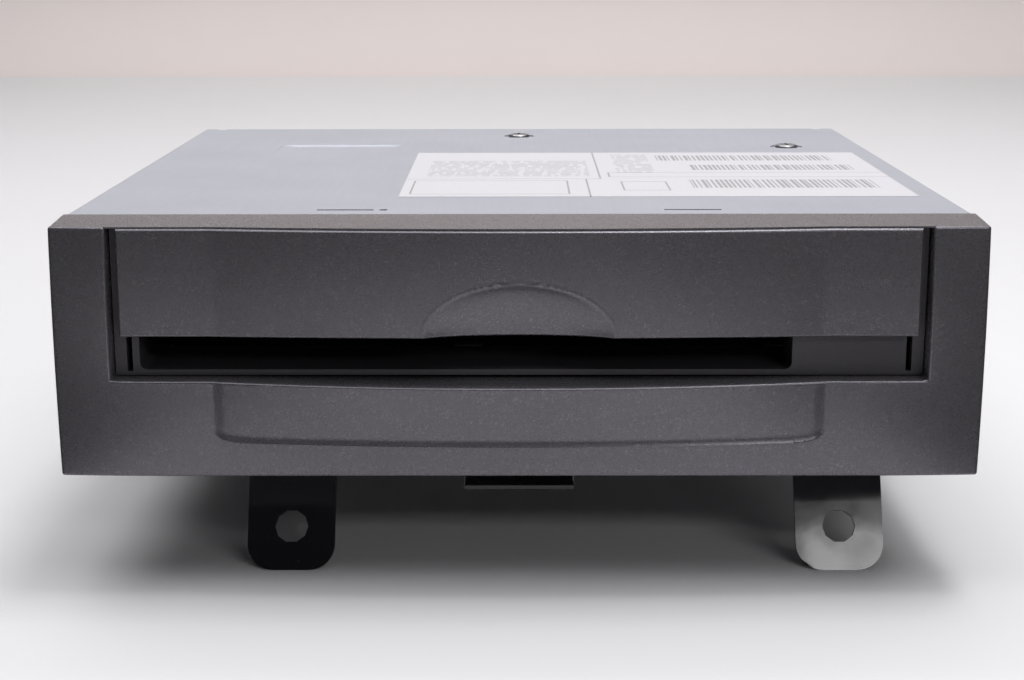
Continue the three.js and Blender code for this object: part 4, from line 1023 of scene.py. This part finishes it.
@dataclass
class CoverSheet:
    """The folded cover, with rolled edges, a pressed pad, slits, screw seats and rear notches.

    Attributes:
        sheet: The sheet's thickness.
        roll: The rolled edges' radius.
        drop: How far the cover lies under the bezel's top.
        pad_size: The pressed pad's width and depth.
        pad_left: How far the pad's middle lies from the cover's left side.
        pad_rear: How far it lies from the cover's rear edge.
        pad_rise: The height of the pad's lip.
        pad_lip: The width of the lip at the rear.
        pad_flank: Its width along the sides.
        pad_ease: How much softer the lip is along the pad's sides.
        pad_fall: The outer share of the lip that falls again.
        pad_skin: How far the pad's flat part stands over the sheet, which keeps the join clean.
        pad_steps: How many faces the lip has across, and the flat part has behind it.
        slit_size: The slits' width and depth.
        slit_inset: How far slits and pinhole lie from the cover's front edge.
        slit_spread: How far each slit lies from the middle.
        pinhole_x: The pinhole's place across.
        pinhole: Its radius.
        seat: The screw seats' radius.
        seat_sink: How far they are sunk.
        collar: The height of the metal pressed down around each seat.
        shank: The screw holes' radius.
        side_drop: How far the side holes lie under the top.
        side_places: How far they lie behind the bezel's face.
        setback: How far the cover's front edge lies behind the bezel's face.
        notch: The rear notches' inset, width and depth.
        drill: The length of the tools that make the screw holes.
        punch: The length of the tools that make the pinhole and the side holes.
        mill: The height of the tools that make the slits, notches and seats.
    """

    sheet: float = 0.8 * MM
    roll: float = 1.1 * MM
    drop: float = 0.3 * MM
    pad_size: Span = (33.5 * MM, 26.5 * MM)
    pad_left: float = 44.25 * MM
    pad_rear: float = 56.7 * MM
    pad_rise: float = 0.55 * MM
    pad_lip: float = 1.5 * MM
    pad_flank: float = 4.5 * MM
    pad_ease: float = 0.8
    pad_fall: float = 0.25
    pad_skin: float = 0.01 * MM
    pad_steps: tuple[int, int] = (12, 6)
    slit_size: Span = (11.5 * MM, 1.3 * MM)
    slit_inset: float = 6.7 * MM
    slit_spread: float = 35.0 * MM
    pinhole_x: float = -27.3 * MM
    pinhole: float = 0.9 * MM
    seat: float = 4.2 * MM
    seat_sink: float = 0.4 * MM
    collar: float = 1.6 * MM
    shank: float = 1.65 * MM
    side_drop: float = 8.0 * MM
    side_places: Span = (42.3 * MM, 153.5 * MM)
    setback: float = 17.3 * MM
    notch: Triple = (5.2 * MM, 2.5 * MM, 1.5 * MM)
    drill: float = 8.0 * MM
    punch: float = 4.0 * MM
    mill: float = 2.0 * MM

    def pad(self, half: float, back: float, top: float) -> bmesh.types.BMesh:
        """Builds the pressed pad, whose lip rises steeply at the back and softly at the ends.

        Args:
            half: Half the cover's width.
            back: The place of its rear edge.
            top: The height of its top.

        Returns:
            The pad's bmesh.
        """
        middle = self.pad_left - half
        across, along = about(middle, self.pad_size[0]), about(back - self.pad_rear, self.pad_size[1])
        crest = along[1] - self.pad_lip
        lip, flat = self.pad_steps
        mesh = slab(across, along, (top - self.sheet / 2, top + self.pad_skin))
        slice_at(mesh, Turn.X, spread(across[0], across[0] + self.pad_flank, lip)[1:])
        slice_at(mesh, Turn.X, spread(across[1] - self.pad_flank, across[1], lip)[:-1])
        slice_at(mesh, Turn.Y, spread(crest, along[1], lip)[:-1])
        slice_at(mesh, Turn.Y, spread(along[0], crest, flat)[1:-1])
        for vert in mesh.verts:
            if vert.co.z < top:
                continue
            # The lip rises towards the rear edge and both sides, and falls again at its outer edge.
            side = max(0.0, 1.0 - (self.pad_size[0] / 2 - abs(vert.co.x - middle)) / self.pad_flank)
            rear = max(0.0, 1.0 - (along[1] - vert.co.y) / self.pad_lip)
            back_share = (vert.co.y - along[0]) / self.pad_size[1]
            rise = ease(min(1.0, math.hypot(side * back_share * self.pad_ease, rear)))
            fall_rear = max(0.0, 1.0 - (along[1] - vert.co.y) / (self.pad_fall * self.pad_lip))
            fall_side = max(0.0, side - 1.0 + self.pad_fall) / self.pad_fall
            vert.co.z += self.pad_rise * rise * (1.0 - fall_rear) * (1.0 - fall_side)
        return mesh

    def holes(self, low: Vector, high: Vector, top: float,
              screws: Iterable[Vector]) -> list[bmesh.types.BMesh]:
        """Makes the tools that cut right through the sheet.

        Args:
            low: The cover's low corner.
            high: The cover's high corner.
            top: The height of its top.
            screws: The middles of the two cover screws.

        Returns:
            One bmesh for each hole, slit and notch.
        """
        row = low.y + self.slit_inset
        tools = [rod(Turn.Z, self.shank, (screw.x, screw.y, top), self.drill) for screw in screws]
        tools.append(rod(Turn.Z, self.pinhole, (self.pinhole_x, row, top), self.punch))
        for side in (-1, 1):
            wide, deep = self.slit_size
            tools.append(slab(about(side * self.slit_spread, wide), about(row, deep), about(top, self.mill)))
            inset, wide, deep = self.notch
            tools.append(slab(about(side * (high.x - inset), wide), (high.y - deep, high.y + MM),
                              about(top, self.mill)))
            for place in self.side_places:
                centre = (side * high.x, low.y - self.setback + place, top - self.side_drop)
                tools.append(rod(Turn.X, self.shank, centre, self.punch))
        return tools

    def build(self) -> bpy.types.Object:
        """Builds the cover.

        Returns:
            The finished cover.
        """
        low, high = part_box("top_cover")
        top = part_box("front_bezel")[1].z - self.drop
        shell = slab((low.x, high.x), (low.y, high.y), (low.z, top))
        round_edges(shell, lambda edge: all(vert.co.z > top - MM for vert in edge.verts)
                    and abs(edge.verts[0].co.x - edge.verts[1].co.x) < MM, self.roll, 5)
        body = new_object("cover_sheet", shell)
        inner = high.x - self.sheet
        combine(body, slab((-inner, inner), (low.y - MM, high.y + MM), (low.z - MM, top - self.sheet)),
                Meeting.CUT)
        boxes = [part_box(name) for name in SCREWS]
        screws = [(one + two) / 2 for one, two in boxes]
        under = top - self.sheet - self.collar / 2
        collars = [rod(Turn.Z, self.seat + self.sheet, (screw.x, screw.y, under), self.collar + self.sheet)
                   for screw in screws]
        combine(body, gather([self.pad(high.x, high.y, top), *collars]), Meeting.JOIN)
        combine(body, gather(self.holes(low, high, top, screws)), Meeting.CUT)
        sunk = top - self.seat_sink + self.mill / 2
        sinks = [rod(Turn.Z, self.seat, (screw.x, screw.y, sunk), self.mill, 48) for screw in screws]
        combine(body, gather(sinks), Meeting.CUT)
        smooth(body.data)
        return level(body)


@dataclass
class CrossScrew:
    """A pan-head screw with a cross recess, standing along Z.

    Attributes:
        node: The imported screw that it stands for.
        head: The head's radius.
        tall: The head's height.
        skirt: The height of the head's straight side.
        crown: The radius of the head's rounded edge.
        shank: The shank's radius.
        under_top: How far the head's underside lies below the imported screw's top.
        cross: The cross's length, width and depth.
    """

    node: str
    head: float = 2.9 * MM
    tall: float = 1.05 * MM
    skirt: float = 0.45 * MM
    crown: float = 1.0 * MM
    shank: float = 1.4 * MM
    under_top: float = 1.7 * MM
    cross: Triple = (3.4 * MM, 0.75 * MM, 0.9 * MM)

    def build(self) -> bpy.types.Object:
        """Spins the head's profile and cuts the cross.

        Returns:
            The finished screw.
        """
        low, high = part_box(self.node)
        x, y = (low.x + high.x) / 2, (low.y + high.y) / 2
        seat = high.z - self.under_top
        profile = [(0.0, low.z), (self.shank, low.z), (self.shank, seat), (self.head, seat)]
        for lean in spread(0.0, math.pi / 2, 6):
            profile.append((self.head - self.crown + self.crown * math.cos(lean),
                            seat + self.skirt + (self.tall - self.skirt) * math.sin(lean)))
        profile.append((0.0, seat + self.tall))
        mesh = bmesh.new()
        verts = [mesh.verts.new((radius, 0.0, z)) for radius, z in profile]
        edges = [mesh.edges.new(pair) for pair in zip(verts, verts[1:])]
        bmesh.ops.spin(mesh, geom=[*verts, *edges], cent=(0, 0, 0), axis=(0, 0, 1), angle=math.tau, steps=40,
                       use_merge=True)
        bmesh.ops.remove_doubles(mesh, verts=mesh.verts, dist=TINY)
        bmesh.ops.recalc_face_normals(mesh, faces=mesh.faces)
        bmesh.ops.translate(mesh, vec=(x, y, 0.0), verts=mesh.verts)
        piece = new_object(self.node + "_turned", mesh)
        long, wide, deep = self.cross
        top = seat + self.tall
        for size_x, size_y in ((long, wide), (wide, long)):
            combine(piece, slab(about(x, size_x), about(y, size_y), (top - deep, top + MM)), Meeting.CUT)
        smooth(piece.data)
        return piece


@dataclass(frozen=True)
class Fitting:
    """One new piece: how it is made, what it rides on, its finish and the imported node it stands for."""

    make: Callable[[], bpy.types.Object]
    body: str
    finish: str
    node: str | None = None

    def install(self, materials: dict[str, bpy.types.Material]) -> None:
        """Makes the piece, dresses it and ties it to the frame.

        Args:
            materials: The finished materials by name.
        """
        piece = self.make()
        dress(piece, materials[self.finish])
        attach(piece, self.body)
        if self.node:
            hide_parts(self.node)
        LOG.info("%s made", piece.name)


@dataclass(frozen=True)
class Lamp:
    """One soft rectangular lamp: its place, the point it faces, its size in metres, watts and colour."""

    name: str
    place: Triple
    aim: Triple
    size: Span
    power: float
    colour: Colour = (1.0, 1.0, 1.0)

    def hang(self) -> None:
        """Adds the lamp to the scene."""
        data = bpy.data.lights.new(self.name, "AREA")
        data.shape = "RECTANGLE"
        data.size, data.size_y = self.size
        data.energy = self.power
        data.color = self.colour
        lamp = bpy.data.objects.new(self.name, data)
        lamp.location = self.place
        lamp.rotation_euler = (Vector(self.aim) - Vector(self.place)).to_track_quat("-Z", "Y").to_euler()
        bpy.context.scene.collection.objects.link(lamp)


LAMPS = (
    Lamp("overhead", (0.05, -0.2, 1.2), (0.08, -0.12, 0.0), (1.9, 1.4), 16.8, (0.97, 0.98, 1.0)),
    Lamp("overhead_core", (0.2, -0.02, 1.2), (0.03, 0.0, 0.0), (0.36, 0.3), 4.2, (0.97, 0.98, 1.0)),
    Lamp("front_right", (0.504, -0.9, 0.449), (0.504, -0.075, 0.0), (0.6, 0.1), 1.55),
    Lamp("front_card", (-0.01, -0.52, -0.035), (-0.01, 0.0, 0.04), (0.46, 0.05), 0.085),
    Lamp("wall_wash", (0.0, 0.75, 1.5), (0.0, 1.4, 0.35), (2.2, 0.5), 9.4, (1.0, 0.985, 0.97)),
)


@dataclass
class Studio:
    """The table, wall, lamps and camera, at the photograph's viewing angle.

    Attributes:
        form: The bezel's face, from which the places are measured.
        eye_back: How far the camera stands in front of the face.
        eye_up: How far it stands over the bezel's top.
        eye_side: How far it stands to the right of the middle.
        pitch: How far it looks down, in degrees.
        yaw: How far it looks to the left, in degrees.
        roll: How far it leans, in degrees.
        focal_pixels: The lens's length in pixels of the photograph.
        image_width: The photograph's width in pixels.
        sensor: The sensor's width in millimetres.
        table_back: How far the table reaches behind the face.
        table_front: Where it ends in front of the face.
        table_thick: Its thickness.
        narrow: Half its width at the front end, which leaves the front lamps open.
        wide: Half its width at the back, and half the wall's.
        sweep: The radius of the bend from table to wall.
        wall_height: How far the wall rises over the bend.
        table_tint: The table's colour.
        wall_tint: The wall's colour.
        cloud: The scale of the faint clouds on both.
        cloud_tint: How dark those clouds are.
        matt: The roughness of both.
        room: The light of the room around.
    """

    form: FaceForm
    eye_back: float = 327.7 * MM
    eye_up: float = 52.9 * MM
    eye_side: float = 0.1 * MM
    pitch: float = 12.83
    yaw: float = 0.25
    roll: float = -0.1
    focal_pixels: float = 1762.0
    image_width: float = 1024.0
    sensor: float = 36.0
    table_back: float = 1.345
    table_front: float = -0.26
    table_thick: float = 0.02
    narrow: float = 0.028
    wide: float = 0.6
    sweep: float = 0.12
    wall_height: float = 2.6
    table_tint: Colour = (0.79, 0.78, 0.79)
    wall_tint: Colour = (0.84, 0.765, 0.745)
    cloud: float = 3.0
    cloud_tint: float = 0.985
    matt: float = 0.8
    room: Colour = (0.04, 0.04, 0.041)

    def camera(self) -> None:
        """Makes the camera and sets it as the scene's."""
        data = bpy.data.cameras.new("camera")
        data.sensor_width = self.sensor
        data.lens = self.sensor * self.focal_pixels / self.image_width
        data.clip_start = 0.01
        camera = bpy.data.objects.new("camera", data)
        camera.location = (self.eye_side, self.form.face_y - self.eye_back, self.form.top_z + self.eye_up)
        turned = (Matrix.Rotation(math.radians(self.yaw), 3, "Z")
                  @ Matrix.Rotation(math.radians(90.0 - self.pitch), 3, "X")
                  @ Matrix.Rotation(math.radians(self.roll), 3, "Z"))
        camera.rotation_euler = turned.to_euler()
        bpy.context.scene.collection.objects.link(camera)
        bpy.context.scene.camera = camera

    def table(self) -> bpy.types.Object:
        """Makes the table, which narrows towards the camera.

        Returns:
            The table.
        """
        face = self.form.face_y
        mesh = slab((-self.wide, self.wide), (face + self.table_front, face + self.table_back),
                    (-self.table_thick, 0.0))
        for vert in mesh.verts:
            if vert.co.y < face:
                vert.co.x *= self.narrow / self.wide
        return new_object("table", mesh)

    def wall(self) -> bpy.types.Object:
        """Makes the wall, which the table bends up into.

        Returns:
            The wall.
        """
        back = self.form.face_y + self.table_back
        mesh = bmesh.new()
        ends = [mesh.verts.new((side * self.wide, back, 0.0)) for side in (-1, 1)]
        edge = mesh.edges.new(ends)
        bent = bmesh.ops.spin(mesh, geom=[*ends, edge], cent=(0.0, back, self.sweep), axis=(1.0, 0.0, 0.0),
                              angle=math.radians(90.0), steps=16)
        last = [item for item in bent["geom_last"] if isinstance(item, bmesh.types.BMEdge)]
        risen = bmesh.ops.extrude_edge_only(mesh, edges=last)["geom"]
        bmesh.ops.translate(mesh, vec=(0.0, 0.0, self.wall_height),
                            verts=[item for item in risen if isinstance(item, bmesh.types.BMVert)])
        return new_object("wall", mesh)

    def ground(self) -> None:
        """Makes the pale table and the wall behind it, and dresses both."""
        for piece, colour in ((self.table(), self.table_tint), (self.wall(), self.wall_tint)):
            bench = Bench(piece.name)
            cloud = bench.ramp(bench.noise(self.cloud, detail=3.0), *GRAIN_REACH)
            tint = bench.mix(cloud, colour, tuple(channel * self.cloud_tint for channel in colour))
            dress(piece, bench.finish(Base_Color=tint, Roughness=self.matt))
            LOG.info("%s made", piece.name)

    def lights(self) -> None:
        """Hangs the lamps and makes the dim room around them."""
        for lamp in LAMPS:
            lamp.hang()
            LOG.info("%s hung", lamp.name)
        world = bpy.data.worlds.new("room")
        world.use_nodes = True
        world.node_tree.nodes["Background"].inputs[0].default_value = (*self.room, 1.0)
        bpy.context.scene.world = world
        bpy.context.scene.view_settings.view_transform = "Standard"


def main() -> None:
    """Makes the finishes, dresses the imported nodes, adds the remade pieces and sets the studio."""
    logging.basicConfig(level=logging.INFO, format="%(message)s")
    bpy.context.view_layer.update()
    materials = {finish.name: finish.make() for finish in FINISHES}
    slots = {row["node"]: row["material_slot"] for row in frame["record"]["subparts"]}
    for name, node in frame["nodes"].items():
        dress(node, materials[slots[name]])
        LOG.info("%s wears %s", name, slots[name])
    for names, width in ((SHEET_NODES, SHEET_EDGE), (MOULDED_NODES, MOULDED_EDGE)):
        for name in names:
            soften(frame["nodes"][name], width)
    form = FaceForm()
    panel = FrontPanel(form)
    fittings = [
        Fitting(panel.bezel, "case", "graphite_plastic", "front_bezel"),
        Fitting(panel.door, "door", "graphite_plastic", "slot_door"),
        Fitting(CoverSheet().build, "case", "zinc_sheet", "top_cover"),
        *(Fitting(CrossScrew(name).build, "case", "bright_steel", name) for name in SCREWS),
        Fitting(panel.lugs, "door", "graphite_plastic"),
        Fitting(panel.lid, "case", "graphite_plastic"),
    ]
    for fitting in fittings:
        fitting.install(materials)
    studio = Studio(form)
    studio.camera()
    studio.ground()
    studio.lights()


if __name__ == "__main__":
    main()
